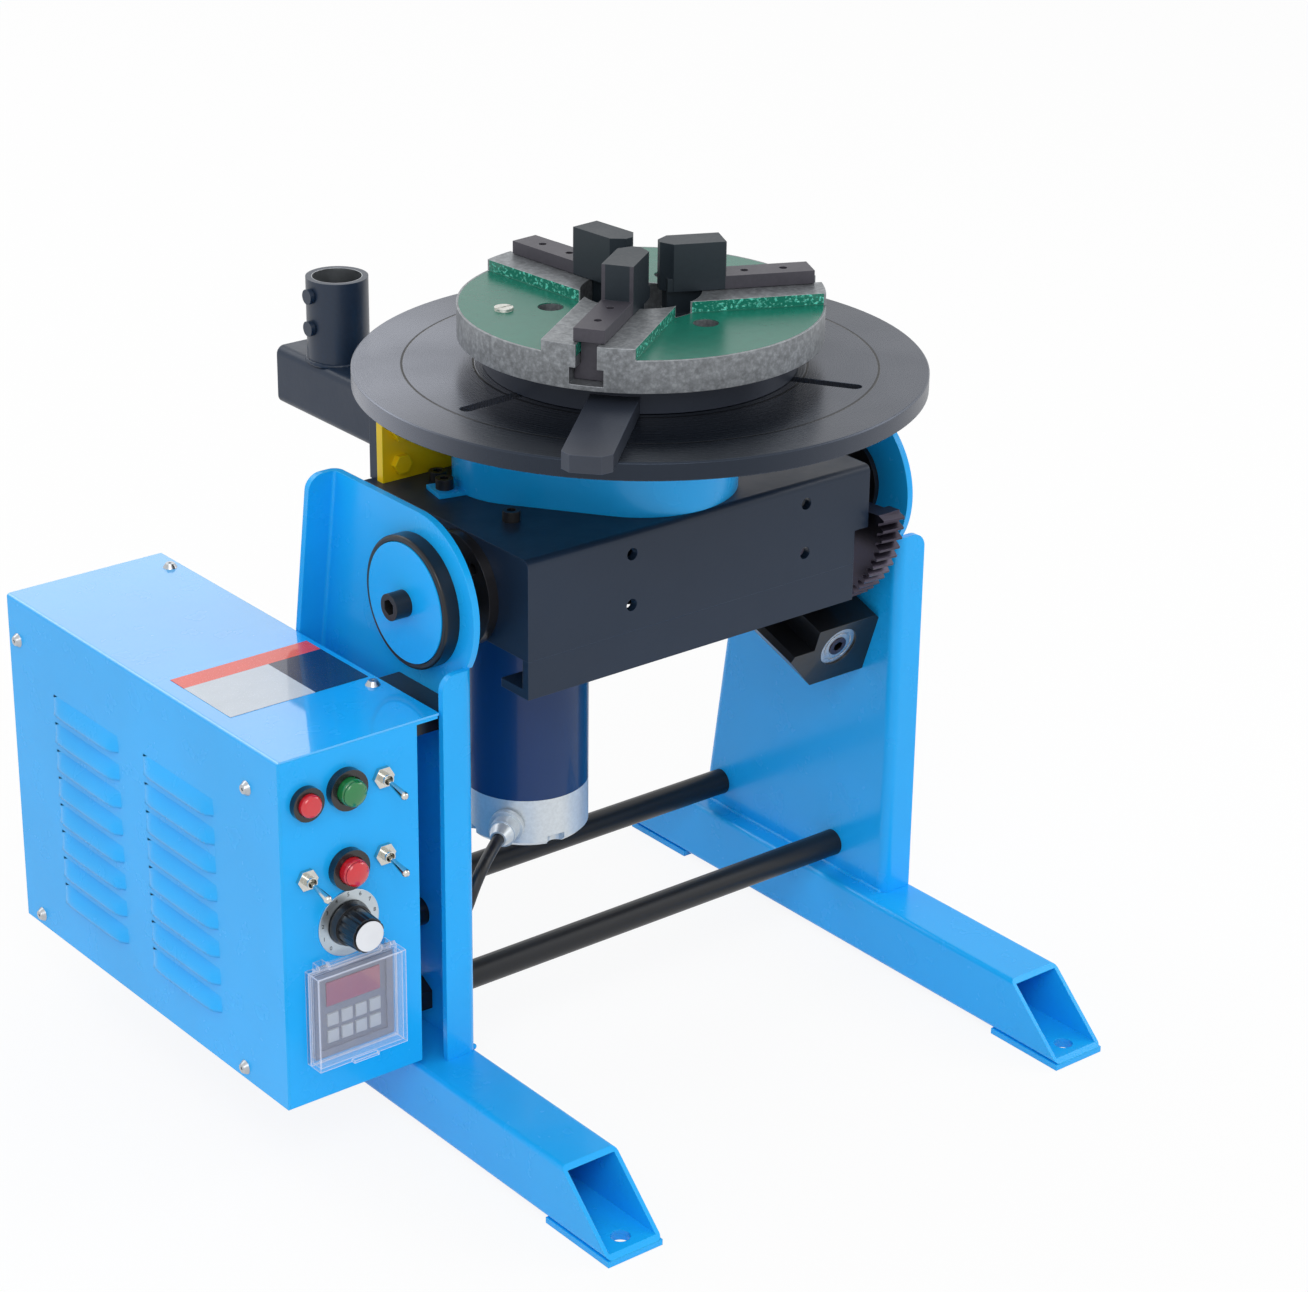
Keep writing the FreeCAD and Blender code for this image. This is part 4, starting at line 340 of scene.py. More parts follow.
def turning_sheen(f, radius, bearing):
    """Painted highlight: two soft opposite fans of lighter tone where fine turning marks would catch the light; the
    one at the bearing is stronger.
    """
    x, y = f.axis("X"), f.axis("Y") - spindle_y
    twice = (x * x - y * y) * math.cos(2 * bearing) + x * y * (2 * math.sin(2 * bearing))
    fans = (twice / (radius * radius + 0.000001)).rise(-0.9, 1.0)
    side = (x * math.cos(bearing) + y * math.sin(bearing)) / (radius + 0.001)
    return fans * side.rise(-1.0, 1.0).span(0.35, 1.0)


def engraved_circles():
    sizes = bpy.context.scene.positioner_table
    return (sizes.outer_circle, sizes.inner_circle)


def painted_chuck(name, iron, green):
    """Grey iron rim and ground guides; the low fields and the guides' flanks are painted, and the flanks are made
    lighter with bright specks as a painted highlight with painted glints.
    """
    f = Finish(name)
    height, radius = f.axis("Z"), f.distance(x=0.0, y=spindle_y)
    grain = f.noise(240, 4, 0.7)
    cells = f.speckle(520)
    coarse = f.noise(90, 3)
    cast = grain.rise(0.25, 0.75).mix(shade(iron, 0.6), shade(iron, 1.3))
    cast = (cells.rise(0.35, 0.7) * 0.35).mix(cast, shade(iron, 0.55))
    cast = (coarse.rise(0.5, 0.8) * 0.3).mix(cast, shade(iron, 0.75))
    cast = (f.edges(0.0008) * 0.6).mix(cast, shade(iron, 1.6))
    field = (height > 0.4352) & (height < 0.44185) & (radius < 0.0988) & (radius > 0.0337)
    flank = field & (height > 0.4360)
    lumps = f.noise(180, 2)
    painted_glints_and_bumps = f.noise(520, 3).rise(0.5, 0.68)
    paint = lumps.mix(shade(green, 0.88), shade(green, 1.14))
    # painted highlight: the guides' flanks are made lighter, and the bright teal specks on them are painted glints;
    # the same specks also roughen the bump
    painted_flank_highlight = painted_glints_and_bumps.mix(shade(green, 1.25), (0.12, 0.72, 0.56))
    paint = flank.mix(paint, painted_flank_highlight)
    screw = f.distance(x=rim_screw["circle"] * math.cos(rim_screw["bearing"]),
                       y=spindle_y + rim_screw["circle"] * math.sin(rim_screw["bearing"]))
    screw = (screw < rim_screw["radius"]) & (height > rim_screw["above"])
    body = field.mix(cast, paint)
    f.set("Base Color", screw.mix(body, srgb(214, 214, 208)))
    painted = field & (1.0 - screw)
    f.set("Metallic", (1.0 - painted) * 0.75)
    f.set("Roughness", painted.span(0.42, 0.26))
    rough = flank * painted_glints_and_bumps * 1.6 + painted * lumps * 0.35 + (1.0 - painted) * grain * 0.5
    f.bump(rough, 0.00035, 0.6, 0.0005)
    return f.material


def circuit(name):
    """Green circuit board with slightly raised tracks."""
    f = Finish(name)
    tracks = f.noise(260, 1).rise(0.49, 0.52)
    f.set("Base Color", tracks.mix(srgb(16, 70, 40), srgb(32, 104, 62)))
    f.set("Roughness", f.noise(200, 2).span(0.3, 0.6))
    f.bump(tracks, 0.00008, 0.5)
    return f.material


def cable_jacket(name, colour):
    """Smooth flexible jacket with slight dust."""
    f = Finish(name)
    dust = f.noise(160, 3)
    f.set("Base Color", dust.rise(0.45, 0.8).mix(colour, shade(colour, 2.2)))
    f.set("Roughness", dust.span(0.32, 0.5))
    f.bump(f.noise(900, 1), 0.00004, 0.5)
    return f.material


def cloudy_floor(name, white):
    """White floor that keeps the soft shadow of what stands on it."""
    f = Finish(name)
    tone = f.noise(3, 2)
    f.set("Base Color", tone.mix(shade(white, 0.985), white))
    f.set("Roughness", tone.span(0.7, 0.9))
    rays = f.start.node("ShaderNodeLightPath", output="Is Camera Ray")
    for ray in ("Is Glossy Ray", "Is Transmission Ray"):
        rays = rays | f.start.node("ShaderNodeLightPath", output=ray)
    glow = f.start.node("ShaderNodeEmission", None, {"Color": (1, 1, 1, 1), "Strength": 1.0})
    body = Wire(f.tree, f.shader.outputs[0])
    blend = f.start.node("ShaderNodeMixShader", None, {0: rays * 0.9, 1: body, 2: glow})
    f.tree.links.new(blend.socket, f.tree.nodes["Material Output"].inputs["Surface"])
    return f.material


finishes = {}


def finish(name, maker=None, *values, **options):
    """Each finish is made once and then shared."""
    if name not in finishes:
        finishes[name] = maker(name, *values, **options)
    return finishes[name]


def coat(material, *nodes):
    """Gives CAD nodes one finish."""
    for node in nodes:
        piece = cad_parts[node]
        piece.data.materials.clear()
        piece.data.materials.append(material)


def blue():
    return finish("blue_coat", gloss_paint, tuple(bpy.context.scene.positioner_colours.blue))


def slate():
    colour = tuple(bpy.context.scene.positioner_colours.slate)
    return finish("slate_coat", gloss_paint, colour, rough=0.36, coat=0.08, wear=1.8)


def zinc():
    return finish("zinc_plate", bare_metal, srgb(190, 194, 198), rough=0.28)


def black_steel():
    return finish("blackened_steel", satin_black, srgb(30, 31, 34))


# ---------------------------------------------------------------- mesh helpers
def add_piece(name, mesh, material, body, smooth=True):
    for face in mesh.polygons:
        face.use_smooth = smooth
    piece = bpy.data.objects.new(name, mesh)
    bpy.context.collection.objects.link(piece)
    mesh.materials.append(material)
    if body:
        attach(piece, body)
    return piece


def mesh_of(name, build):
    shape = bmesh.new()
    build(shape)
    bmesh.ops.recalc_face_normals(shape, faces=shape.faces[:])
    mesh = bpy.data.meshes.new(name)
    shape.to_mesh(mesh)
    shape.free()
    return mesh


def along(points, radii, sides=12, caps=True):
    """Builder of a round skin around a line of points; radii is one number or one per point."""
    points = [Vector(p) for p in points]
    if isinstance(radii, (int, float)):
        radii = [radii] * len(points)

    def build(shape):
        way = (points[1] - points[0]).normalized()
        side = way.orthogonal().normalized()
        rings = []
        for k, point in enumerate(points):
            ahead = points[min(k + 1, len(points) - 1)] - points[max(k - 1, 0)]
            new_way = ahead.normalized()
            side = way.rotation_difference(new_way) @ side
            way = new_way
            other = way.cross(side)
            ring = []
            for n in range(sides):
                a = 2 * math.pi * n / sides
                ring.append(shape.verts.new(point + (side * math.cos(a) + other * math.sin(a)) * radii[k]))
            rings.append(ring)
        for first, second in zip(rings, rings[1:]):
            for n in range(sides):
                shape.faces.new((first[n], first[(n + 1) % sides], second[(n + 1) % sides], second[n]))
        if caps:
            shape.faces.new(rings[0][::-1])
            shape.faces.new(rings[-1])

    return build


def weld_bead(name, points, radius, body, material):
    """A rippled weld bead along a line."""
    line = [Vector(p) for p in points]
    fine, radii = [], []
    for a, b in zip(line, line[1:]):
        steps = max(2, int((b - a).length / 0.0009))
        for k in range(steps):
            fine.append(a.lerp(b, k / steps))
    fine.append(line[-1])
    for k in range(len(fine)):
        wave = abs(math.sin(k * 0.9)) * 0.18 + 0.08 * math.sin(k * 0.37 + 1)
        radii.append(radius * (0.86 + wave))
    radii[0] = radii[-1] = radius * 0.5
    return add_piece(name, mesh_of(name, along(fine, radii, 8)), material, body)


def spline_points(route):
    """Points along the smooth open spline that has the route as its control points."""
    curve = bpy.data.curves.new("route", "CURVE")
    curve.dimensions = "3D"
    curve.resolution_u = 10
    spline = curve.splines.new("NURBS")
    spline.points.add(len(route) - 1)
    for point, place in zip(spline.points, route):
        point.co = (*place, 1)
    spline.order_u = 3
    spline.use_endpoint_u = True
    carrier = bpy.data.objects.new("route", curve)
    bpy.context.collection.objects.link(carrier)
    mesh = bpy.data.meshes.new_from_object(carrier.evaluated_get(bpy.context.evaluated_depsgraph_get()))
    points = [v.co.copy() for v in mesh.vertices]
    bpy.data.objects.remove(carrier)
    bpy.data.curves.remove(curve)
    bpy.data.meshes.remove(mesh)
    return points


# ---------------------------------------------------------------- sizes and colours a user may change
class PositionerColours(bpy.types.PropertyGroup):
    blue: bpy.props.FloatVectorProperty(name="Blue", description="Powder coat of frame and control box",
                                        subtype="COLOR", size=3, min=0, max=1, default=srgb(24, 172, 248))
    slate: bpy.props.FloatVectorProperty(name="Slate", description="Powder coat of the carriage and the column arm",
                                         subtype="COLOR", size=3, min=0, max=1, default=srgb(24, 40, 60))
    navy: bpy.props.FloatVectorProperty(name="Navy", description="Enamel of the motor", subtype="COLOR",
                                        size=3, min=0, max=1, default=srgb(16, 54, 104))
    green: bpy.props.FloatVectorProperty(name="Green", description="Paint in the chuck's low fields", subtype="COLOR",
                                         size=3, min=0, max=1, default=srgb(8, 104, 86))


class PositionerCable(bpy.types.PropertyGroup):
    diameter: bpy.props.FloatProperty(name="Diameter", description="Across the motor cable's jacket", default=0.007,
                                      min=0.003, max=0.012, unit="LENGTH")
    sides: bpy.props.IntProperty(name="Sides", description="Facets around the jacket", default=20, min=8, max=48)


class PositionerTable(bpy.types.PropertyGroup):
    outer_circle: bpy.props.FloatProperty(name="Outer Circle", description="Radius of the outer engraved circle",
                                          default=0.1300, min=0.05, max=0.15, unit="LENGTH")
    inner_circle: bpy.props.FloatProperty(name="Inner Circle", description="Radius of the inner engraved circle",
                                          default=0.0910, min=0.05, max=0.15, unit="LENGTH")


class PositionerLouvres(bpy.types.PropertyGroup):
    rows: bpy.props.IntProperty(name="Rows", description="Louvres in each column", default=8, min=1, max=12)
    pitch: bpy.props.FloatProperty(name="Pitch", description="From one louvre to the next", default=0.017, min=0.012,
                                   max=0.03, unit="LENGTH")
    first_base: bpy.props.FloatProperty(name="First Base", description="Height of the top louvre's lower edge",
                                        default=0.197, min=0.1, max=0.24, unit="LENGTH")
    height: bpy.props.FloatProperty(name="Height", description="From a louvre's lower edge to its upper edge",
                                    default=0.0095, min=0.005, max=0.014, unit="LENGTH")
    lap: bpy.props.FloatProperty(name="Lap", description="How far the swelling hangs below its slot", default=0.0006,
                                 min=0.0, max=0.003, unit="LENGTH")
    margin: bpy.props.FloatProperty(name="Margin", description="Extra length at each end", default=0.002, min=0.0,
                                    max=0.006, unit="LENGTH")
    depth: bpy.props.FloatProperty(name="Depth", description="How far a louvre stands out", default=0.0041, min=0.002,
                                   max=0.006, unit="LENGTH")
    cad_depth: bpy.props.FloatProperty(name="Slot Depth", description="Reach of the plain louvres underneath",
                                       default=0.0036, min=0.002, max=0.006, unit="LENGTH")


class PositionerPanel(bpy.types.PropertyGroup):
    digit_height: bpy.props.FloatProperty(name="Digit Height", description="Height of the numbers around the dial",
                                          default=0.0032, min=0.001, max=0.01, unit="LENGTH")
    plate_lift: bpy.props.FloatProperty(name="Plate Lift", description="How far prints stand off their surface",
                                        default=0.00025, min=0.0001, max=0.001, unit="LENGTH")


class PositionerStage(bpy.types.PropertyGroup):
    floor_size: bpy.props.FloatProperty(name="Floor Size", description="Side of the floor", default=9.0, min=2.0,
                                        max=40.0, unit="LENGTH")
    key_power: bpy.props.FloatProperty(name="Key Light", description="Power of the large front light", default=32.0,
                                       min=0.0, max=500.0)
    softbox_power: bpy.props.FloatProperty(name="Rear Softbox",
                                           description="Power of the softbox that the lid reflects", default=1.8,
                                           min=0.0, max=100.0)
    fill_level: bpy.props.FloatProperty(name="Fill Level", description="Strength of the light from all around",
                                        default=0.75, min=0.0, max=3.0)
    lens: bpy.props.FloatProperty(name="Lens", description="Focal length", default=93.66, min=20.0, max=300.0,
                                  subtype="DISTANCE_CAMERA")


settings_groups = {
    "positioner_colours": PositionerColours,
    "positioner_cable": PositionerCable,
    "positioner_table": PositionerTable,
    "positioner_louvres": PositionerLouvres,
    "positioner_panel": PositionerPanel,
    "positioner_stage": PositionerStage,
}


# ---------------------------------------------------------------- operators
class POSITIONER_OT_camera(bpy.types.Operator):
    """Adds the camera at the product view"""
    bl_idname = "positioner.camera"
    bl_label = "Camera"

    def execute(self, context):
        azimuth, elevation, roll = (math.radians(a) for a in (-39.03, 23.67, 0.78))
        away = Vector((math.sin(azimuth) * math.cos(elevation), -math.cos(azimuth) * math.cos(elevation),
                       math.sin(elevation)))
        target = Vector((0.0098, 0.0089, 0.2303))
        data = bpy.data.cameras.new("camera")
        data.lens = context.scene.positioner_stage.lens
        data.sensor_width = 36
        data.clip_end = 60
        camera = bpy.data.objects.new("camera", data)
        context.collection.objects.link(camera)
        turn = (-away).to_track_quat("-Z", "Y").to_matrix() @ Matrix.Rotation(roll, 3, "Z")
        camera.matrix_world = Matrix.Translation(target + away * 1.9277) @ turn.to_4x4()
        context.scene.camera = camera
        return {"FINISHED"}


class POSITIONER_OT_motor_cable(bpy.types.Operator):
    """Makes the cable from the motor's plug to the gland in the control box"""
    bl_idname = "positioner.motor_cable"
    bl_label = "Motor Cable"

    def execute(self, context):
        sizes = context.scene.positioner_cable
        route = [(-0.08722, 0.02344, 0.135), (-0.11837, -0.00003, 0.135), (-0.133, 0.002, 0.096),
                 (-0.128, 0.042, 0.077), (-0.126, 0.097, 0.080), (-0.127, 0.150, 0.088),
                 (-0.131, 0.206, 0.096), (-0.175, 0.206, 0.096)]
        jacket = finish("cable_jacket", cable_jacket, srgb(26, 26, 29))
        points = spline_points(route)
        skin = mesh_of("motor_lead", along(points, sizes.diameter / 2, sizes.sides))
        lead = add_piece("motor_lead", skin, jacket, None)
        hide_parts("motor_cable")
        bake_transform(lead)
        return {"FINISHED"}


class POSITIONER_OT_painted_steel(bpy.types.Operator):
    """Coats the frame, the control box, the carriage and the motor"""
    bl_idname = "positioner.painted_steel"
    bl_label = "Painted Steel"

    def execute(self, context):
        colours = context.scene.positioner_colours
        coat(blue(), "feet", "foot_pads", "left_side_plate", "right_side_plate", "control_chassis", "gear_guard",
             "hub_cap")
        lid_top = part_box("control_cover")[1][2]
        coat(finish("blue_lid", gloss_paint, tuple(colours.blue), glossy_above=lid_top - 0.001), "control_cover")
        coat(slate(), "carriage", "carriage_skirt", "column_arm")
        coat(finish("socket_steel", two_metals, tuple(colours.slate), srgb(168, 172, 176),
                    lambda f: f.distance(x=socket_axis[0], y=socket_axis[1]) < socket_bore_edge,
                    rough=0.34, metal=(0.0, 1.0)), "column_socket")
        coat(finish("navy_enamel", gloss_paint, tuple(colours.navy), rough=0.3, coat=0.2, wear=1.5), "motor_body")
        coat(finish("black_enamel", gloss_paint, srgb(22, 24, 28), rough=0.3, coat=0.2, wear=2.5),
             "hub_ring", "worm_housing", "spindle_housing", "control_spacers")
        return {"FINISHED"}


class POSITIONER_OT_bare_metal(bpy.types.Operator):
    """Gives shafts, gears, bearings, screws and plates their machined finishes"""
    bl_idname = "positioner.bare_metal"
    bl_label = "Bare Metal"

    def execute(self, context):
        coat(black_steel(), "tie_rods", "tie_rod_nuts", "hub_bolts", "control_bolts", "deck_bolts")
        coat(zinc(), "cover_screws", "potentiometer", "worm_bearings", "spindle_bearings", "spindle", "drive_pinion")
        coat(finish("cut_steel", bare_metal, srgb(74, 70, 82), rough=0.34, grain=(8, 1, 1), grain_scale=300),
             "tilt_sector", "tilt_worm")
        coat(finish("dark_steel", bare_metal, srgb(64, 64, 68), rough=0.3, metal=0.8), "trunnions", "tilt_bushes")
        coat(finish("yellow_zinc", gloss_paint, srgb(252, 208, 10), rough=0.3, wear=1.6), "arm_bracket")
        coat(finish("cast_cap", bare_metal, srgb(216, 222, 226), rough=0.34, metal=0.5), "motor_end_cap")
        coat(finish("turned_table", turned_table, srgb(40, 47, 58)), "table")
        return {"FINISHED"}


class POSITIONER_OT_chuck(bpy.types.Operator):
    """Finishes the chuck, its scroll and its three jaws"""
    bl_idname = "positioner.chuck"
    bl_label = "Chuck"

    def execute(self, context):
        green = tuple(context.scene.positioner_colours.green)
        coat(finish("chuck_iron", painted_chuck, srgb(146, 150, 154), green), "chuck_body")
        coat(finish("scroll_steel", satin_black, srgb(48, 54, 66), rough=0.38), "scroll_plate")
        coat(finish("jaw_steel", two_metals, srgb(74, 72, 80), srgb(34, 44, 52),
                    lambda f: f.distance(x=0.0, y=spindle_y) < jaw_block_edge, rough=0.42, metal=(0.4, 0.3)),
             "chuck_jaw_1", "chuck_jaw_2", "chuck_jaw_3")
        return {"FINISHED"}


class POSITIONER_OT_panel_parts(bpy.types.Operator):
    """Finishes the switches, buttons, lamp, knob and timer"""
    bl_idname = "positioner.panel_parts"
    bl_label = "Panel Parts"

    def execute(self, context):
        nickel = finish("bright_nickel", bare_metal, srgb(214, 214, 208), rough=0.16)
        coat(nickel, "toggle_switches", "toggle_lever_1", "toggle_lever_2", "toggle_lever_3")
        coat(finish("black_bezel", moulded, srgb(20, 20, 24), rough=0.25, clear=0.4), "lamp_body", "button_bezels",
             "rear_connectors")
        coat(finish("grey_case", moulded, srgb(116, 120, 136), rough=0.35), "timer_body")
        coat(finish("red_lens", moulded, srgb(205, 24, 40), rough=0.12, clear=0.8), "lamp_lens", "stop_button")
        coat(finish("green_cap", moulded, srgb(20, 120, 62), rough=0.18, clear=0.6), "start_button")
        coat(finish("brushed_dial", bare_metal, srgb(206, 216, 222), rough=0.3, grain=(1, 1, 12)), "dial_plate")
        coat(finish("black_knob", moulded, srgb(24, 26, 30), rough=0.3, clear=0.3), "speed_knob")
        coat(finish("display_window", moulded, srgb(150, 52, 72), rough=0.08, clear=1.0), "timer_display")
        coat(finish("grey_keys", moulded, srgb(176, 182, 190), rough=0.4), "timer_keys")
        coat(finish("clear_cover", clear_cover), "timer_frame", "timer_lid")
        coat(finish("circuit", circuit), "control_electronics")
        return {"FINISHED"}


def disc(centre, radius, depth, sides, bevel):
    """Builder of a flat disc on the panel, facing the front, with a bevelled rim."""
    def build(shape):
        x, y, z = centre
        rings = []
        for r, d in ((radius, 0), (radius, depth - bevel), (radius - bevel, depth)):
            ring = []
            for n in range(sides):
                a = 2 * math.pi * n / sides
                ring.append(shape.verts.new((x + r * math.cos(a), y - d, z + r * math.sin(a))))
            rings.append(ring)
        for first, second in zip(rings, rings[1:]):
            for n in range(sides):
                shape.faces.new((first[n], first[(n + 1) % sides], second[(n + 1) % sides], second[n]))
        shape.faces.new(rings[0])
        shape.faces.new(rings[-1])
    return build


class POSITIONER_OT_dial(bpy.types.Operator):
    """Prints the numbers around the speed knob and sets its white cap"""
    bl_idname = "positioner.dial"
    bl_label = "Dial"

    def execute(self, context):
        sizes = context.scene.positioner_panel
        low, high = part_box("dial_plate")
        x, z, y = (low[0] + high[0]) / 2, (low[2] + high[2]) / 2, low[1] - 0.00005
        ink = finish("dial_ink", moulded, srgb(24, 26, 32), rough=0.5)
        for mark in range(11):
            angle = math.radians(225 - 27 * mark)
            text = bpy.data.curves.new("dial_number", "FONT")
            text.body = str(mark)
            text.size = sizes.digit_height
            text.align_x = "CENTER"
            text.align_y = "CENTER"
            text.extrude = 0.00003
            number = bpy.data.objects.new("dial_number_%d" % mark, text)
            context.collection.objects.link(number)
            number.location = (x + 0.0166 * math.cos(angle), y, z + 0.0166 * math.sin(angle))
            number.rotation_euler = (math.radians(90), 0, 0)
            text.materials.append(ink)
            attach(number, "frame")
        low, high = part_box("speed_knob")
        cap = add_piece("knob_cap", mesh_of("knob_cap", disc((x, low[1], z), 0.0086, 0.0006, 48, 0.0002)),
                        finish("white_cap", moulded, srgb(226, 228, 232), rough=0.3), "knob", smooth=False)
        return {"FINISHED"}


def plate_builder(corners, lift):
    """Builder of a thin plate from its corner points, lifted along the normal."""
    corners = [Vector(c) for c in corners]
    normal = (corners[1] - corners[0]).cross(corners[2] - corners[1]).normalized()

    def build(shape):
        low = [shape.verts.new(c) for c in corners]
        high = [shape.verts.new(c + normal * lift) for c in corners]
        shape.faces.new(low)
        shape.faces.new(high)
        for n in range(len(corners)):
            shape.faces.new((low[n], low[(n + 1) % len(corners)], high[(n + 1) % len(corners)], high[n]))
    return build


def hood(wall, y0, y1, top, base, depth, steps=16, rows=6):
    """Builder of one pressed louvre on the cover's side: it swells from its top edge and is cut off below."""
    def build(shape):
        grid = []
        for row in range(rows + 1):
            v = row / rows
            line = []
            for step in range(steps + 1):
                u = step / steps
                end = (1 - abs(2 * u - 1) ** 6) ** 0.5
                out = depth * math.sin(v * math.pi / 2) * end
                line.append(shape.verts.new((wall - out, y0 + (y1 - y0) * u, top + (base - top) * v)))
            grid.append(line)
        under = [shape.verts.new((wall + 0.0004, v.co.y, v.co.z + 0.0002)) for v in grid[-1]]
        grid.append(under)
        for first, second in zip(grid, grid[1:]):
            for step in range(steps):
                shape.faces.new((first[step], first[step + 1], second[step + 1], second[step]))
    return build


def dome(centre, radius, height, sides=32, rows=6):
    """Builder of a domed cap on the panel, facing the front."""
    def build(shape):
        x, y, z = centre
        rings = []
        for row in range(rows):
            a = row / rows * math.pi / 2
            r, d = radius * math.cos(a), height * math.sin(a)
            rings.append([shape.verts.new((x + r * math.cos(2 * math.pi * n / sides), y - d,
                                           z + r * math.sin(2 * math.pi * n / sides))) for n in range(sides)])
        tip = shape.verts.new((x, y - height, z))
        for first, second in zip(rings, rings[1:]):
            for n in range(sides):
                shape.faces.new((first[n], first[(n + 1) % sides], second[(n + 1) % sides], second[n]))
        for n in range(sides):
            shape.faces.new((rings[-1][n], rings[-1][(n + 1) % sides], tip))
        shape.faces.new(rings[0])
    return build


class POSITIONER_OT_pressings(bpy.types.Operator):
    """Swells the louvres on the cover's outer side and domes the two buttons"""
    bl_idname = "positioner.pressings"
    bl_label = "Louvres And Domes"

    def execute(self, context):
        sizes = context.scene.positioner_louvres
        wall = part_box("control_cover")[0][0] + sizes.cad_depth
        for column, (y0, y1) in enumerate(((0.036, 0.103), (0.134, 0.200))):
            for row in range(sizes.rows):
                low = sizes.first_base - row * sizes.pitch
                mesh = mesh_of("louvre", hood(wall, y0 - sizes.margin, y1 + sizes.margin, low + sizes.height,
                                              low - sizes.lap, sizes.depth))
                add_piece("louvre_%d_%d" % (column + 1, row + 1), mesh, finishes["blue_lid"], "frame")
        for node, body in (("start_button", "start"), ("stop_button", "stop")):
            low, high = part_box(node)
            x, z, r = (low[0] + high[0]) / 2, (low[2] + high[2]) / 2, (high[0] - low[0]) / 2
            mesh = mesh_of(node + "_dome", dome((x, low[1] + 0.0001, z), r - 0.0003, 0.0028))
            cap = add_piece(node + "_dome", mesh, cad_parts[node].data.materials[0], body)
        return {"FINISHED"}


class POSITIONER_OT_label(bpy.types.Operator):
    """Lays the blank three-colour plate on the lid"""
    bl_idname = "positioner.label"
    bl_label = "Lid Plate"

    def execute(self, context):
        lift = context.scene.positioner_panel.plate_lift
        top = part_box("control_cover")[1][2] + 0.00002
        x0, x1, y0, y1 = -0.257, -0.170, 0.031, 0.091
        band = y1 - 0.014
        pieces = (
            ("plate_band", x0, x1, band, y1, srgb(230, 70, 52)),
            ("plate_field", x0, x1 - 0.034, y0, band, srgb(196, 204, 212)),
            ("plate_dark", x1 - 0.034, x1, y0, band, srgb(20, 32, 66)),
        )
        for name, a, b, c, d, colour in pieces:
            corners = [(a, c, top), (b, c, top), (b, d, top), (a, d, top)]
            material = finish(name + "_print", moulded, colour, rough=0.25, clear=0.5)
            piece = add_piece(name, mesh_of(name, plate_builder(corners, lift)), material, "frame", smooth=False)
        return {"FINISHED"}


class POSITIONER_OT_welds(bpy.types.Operator):
    """Runs weld beads where the plates stand on the feet and where the column socket stands on its arm"""
    bl_idname = "positioner.welds"
    bl_label = "Weld Beads"

    def execute(self, context):
        foot_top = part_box("feet")[1][2]
        low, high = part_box("left_side_plate")
        right_low, right_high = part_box("right_side_plate")
        lines = (
            ("left_inner_weld", high[0], low[1] + 0.008, high[1] - 0.008),
            ("right_inner_weld", right_low[0], right_low[1] + 0.008, right_high[1] - 0.008),
        )
        for name, x, y0, y1 in lines:
            weld_bead(name, [(x, y0, foot_top), (x, y1, foot_top)], 0.0016, "frame", blue())
        low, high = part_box("column_socket")
        x, y, r = (low[0] + 0.003 + high[0]) / 2, (low[1] + high[1]) / 2, (high[1] - low[1]) / 2
        turns = [2 * math.pi * k / 48 for k in range(49)]
        ring = [(x + r * math.cos(a), y + r * math.sin(a), low[2]) for a in turns]
        weld_bead("socket_weld", ring, 0.0014, "tilt_head", slate())
        return {"FINISHED"}


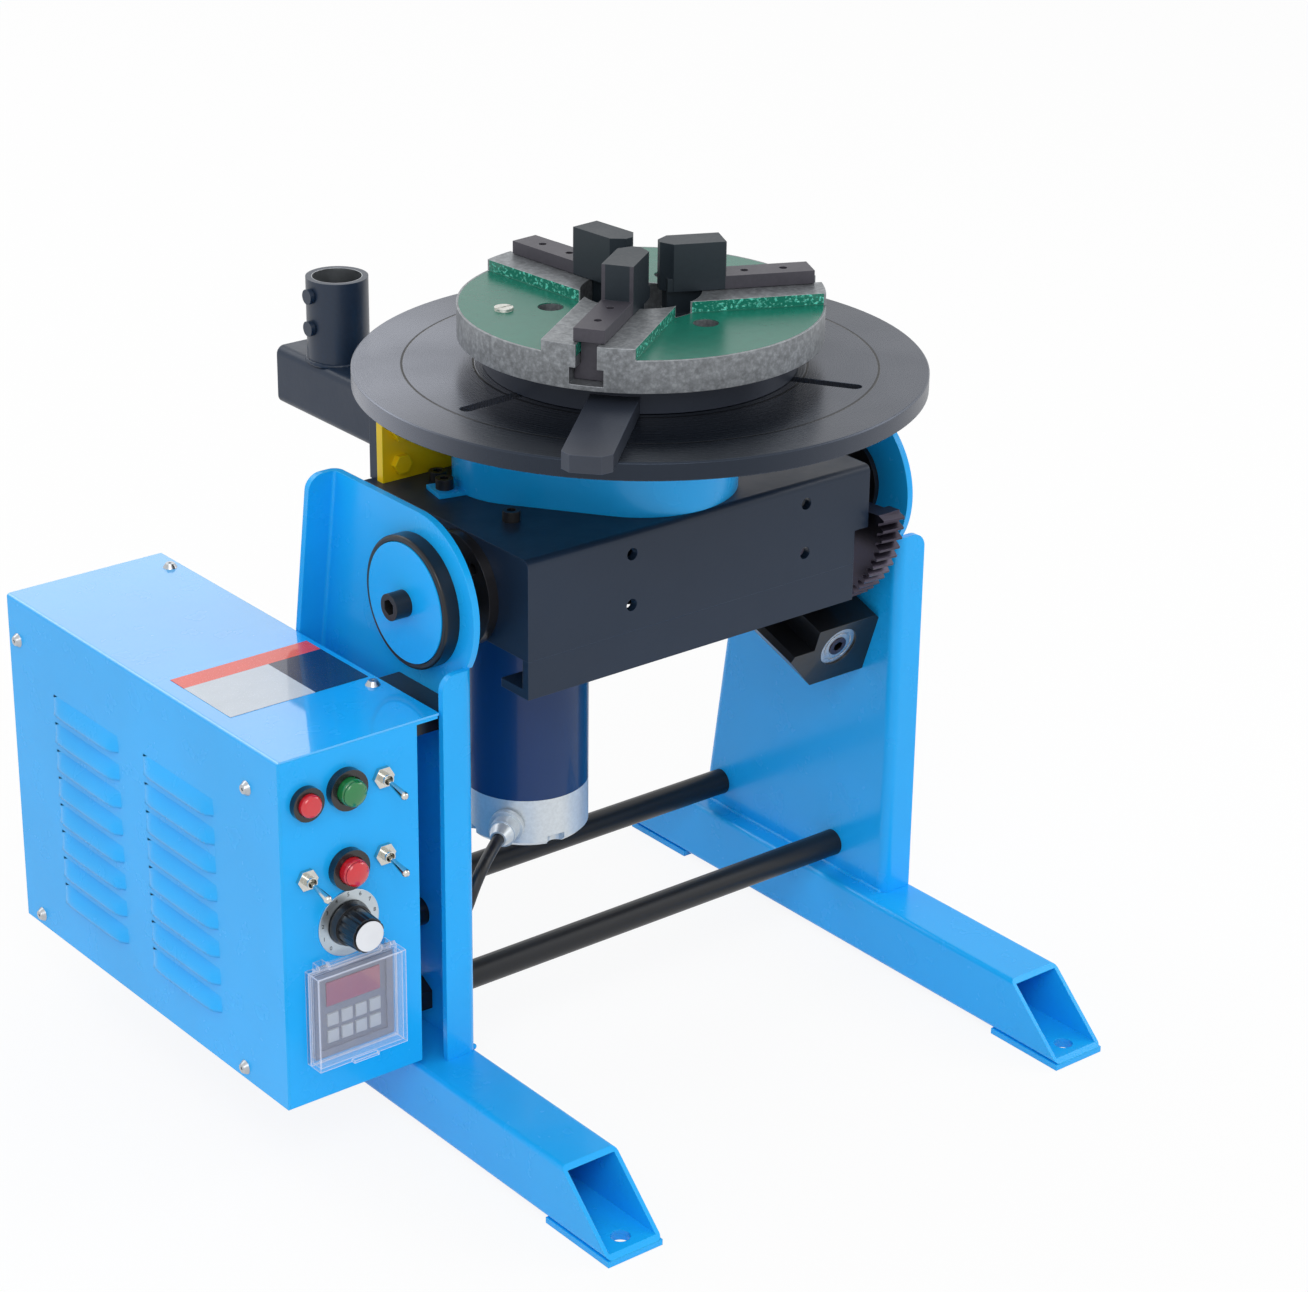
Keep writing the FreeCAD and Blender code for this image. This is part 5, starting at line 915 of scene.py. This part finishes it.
class POSITIONER_OT_stage(bpy.types.Operator):
    """Adds the floor, the lights and the world"""
    bl_idname = "positioner.stage"
    bl_label = "Stage"

    def execute(self, context):
        sizes = context.scene.positioner_stage
        half = sizes.floor_size / 2

        def sheet(shape):
            corners = ((-1, -1), (1, -1), (1, 1), (-1, 1))
            shape.faces.new([shape.verts.new((x * half, y * half, -0.0002)) for x, y in corners])

        mesh = mesh_of("floor", sheet)
        mesh.materials.append(finish("floor_white", cloudy_floor, (0.9, 0.9, 0.9)))
        floor = bpy.data.objects.new("floor", mesh)
        context.collection.objects.link(floor)
        lamps = (
            ("key_light", (-1.6, -1.9, 2.4), 1.6, sizes.key_power),
            ("side_light", (2.4, -1.0, 1.6), 1.4, sizes.key_power * 0.45),
            ("back_light", (-0.6, 2.4, 2.2), 1.6, sizes.key_power * 0.4),
            ("rear_softbox", (0.88, 2.6, 1.15), 1.15, sizes.softbox_power),
        )
        for name, place, size, power in lamps:
            data = bpy.data.lights.new(name, "AREA")
            data.energy = power
            data.size = size
            lamp = bpy.data.objects.new(name, data)
            lamp.location = place
            lamp.rotation_euler = (Vector((0, 0, 0.25)) - Vector(place)).to_track_quat("-Z", "Y").to_euler()
            context.collection.objects.link(lamp)
        world = bpy.data.worlds.new("studio")
        world.use_nodes = True
        context.scene.world = world
        tree = world.node_tree
        start = Wire(tree)
        rays = start.node("ShaderNodeLightPath", output="Is Camera Ray")
        for ray in ("Is Glossy Ray", "Is Transmission Ray"):
            rays = rays | start.node("ShaderNodeLightPath", output=ray)
        level = rays * (1.0 - sizes.fill_level) + sizes.fill_level
        glow = start.node("ShaderNodeBackground", None, {"Color": (1, 1, 1, 1), "Strength": level})
        tree.links.new(glow.socket, tree.nodes["World Output"].inputs["Surface"])
        return {"FINISHED"}


steps = (
    POSITIONER_OT_camera, POSITIONER_OT_motor_cable, POSITIONER_OT_painted_steel, POSITIONER_OT_bare_metal,
    POSITIONER_OT_chuck, POSITIONER_OT_panel_parts, POSITIONER_OT_dial, POSITIONER_OT_pressings, POSITIONER_OT_label,
    POSITIONER_OT_welds, POSITIONER_OT_stage,
)


class POSITIONER_PT_sidebar(bpy.types.Panel):
    """Lists the sizes, colours and steps"""
    bl_label = "Welding Positioner"
    bl_idname = "POSITIONER_PT_sidebar"
    bl_space_type = "VIEW_3D"
    bl_region_type = "UI"
    bl_category = "Positioner"

    def draw(self, context):
        for name in settings_groups:
            group = getattr(context.scene, name)
            column = self.layout.box().column()
            for key in group.__annotations__:
                column.prop(group, key)
        for step in steps:
            self.layout.operator(step.bl_idname)


def register():
    for name, group in settings_groups.items():
        bpy.utils.register_class(group)
        setattr(bpy.types.Scene, name, bpy.props.PointerProperty(type=group))
    for step in (*steps, POSITIONER_PT_sidebar):
        bpy.utils.register_class(step)


def unregister():
    for step in (POSITIONER_PT_sidebar, *reversed(steps)):
        bpy.utils.unregister_class(step)
    for name, group in settings_groups.items():
        delattr(bpy.types.Scene, name)
        bpy.utils.unregister_class(group)


def main():
    register()
    bpy.context.scene.view_settings.view_transform = "Standard"
    for step in steps:
        group, name = step.bl_idname.split(".")
        getattr(getattr(bpy.ops, group), name)()


if __name__ == "__main__":
    main()
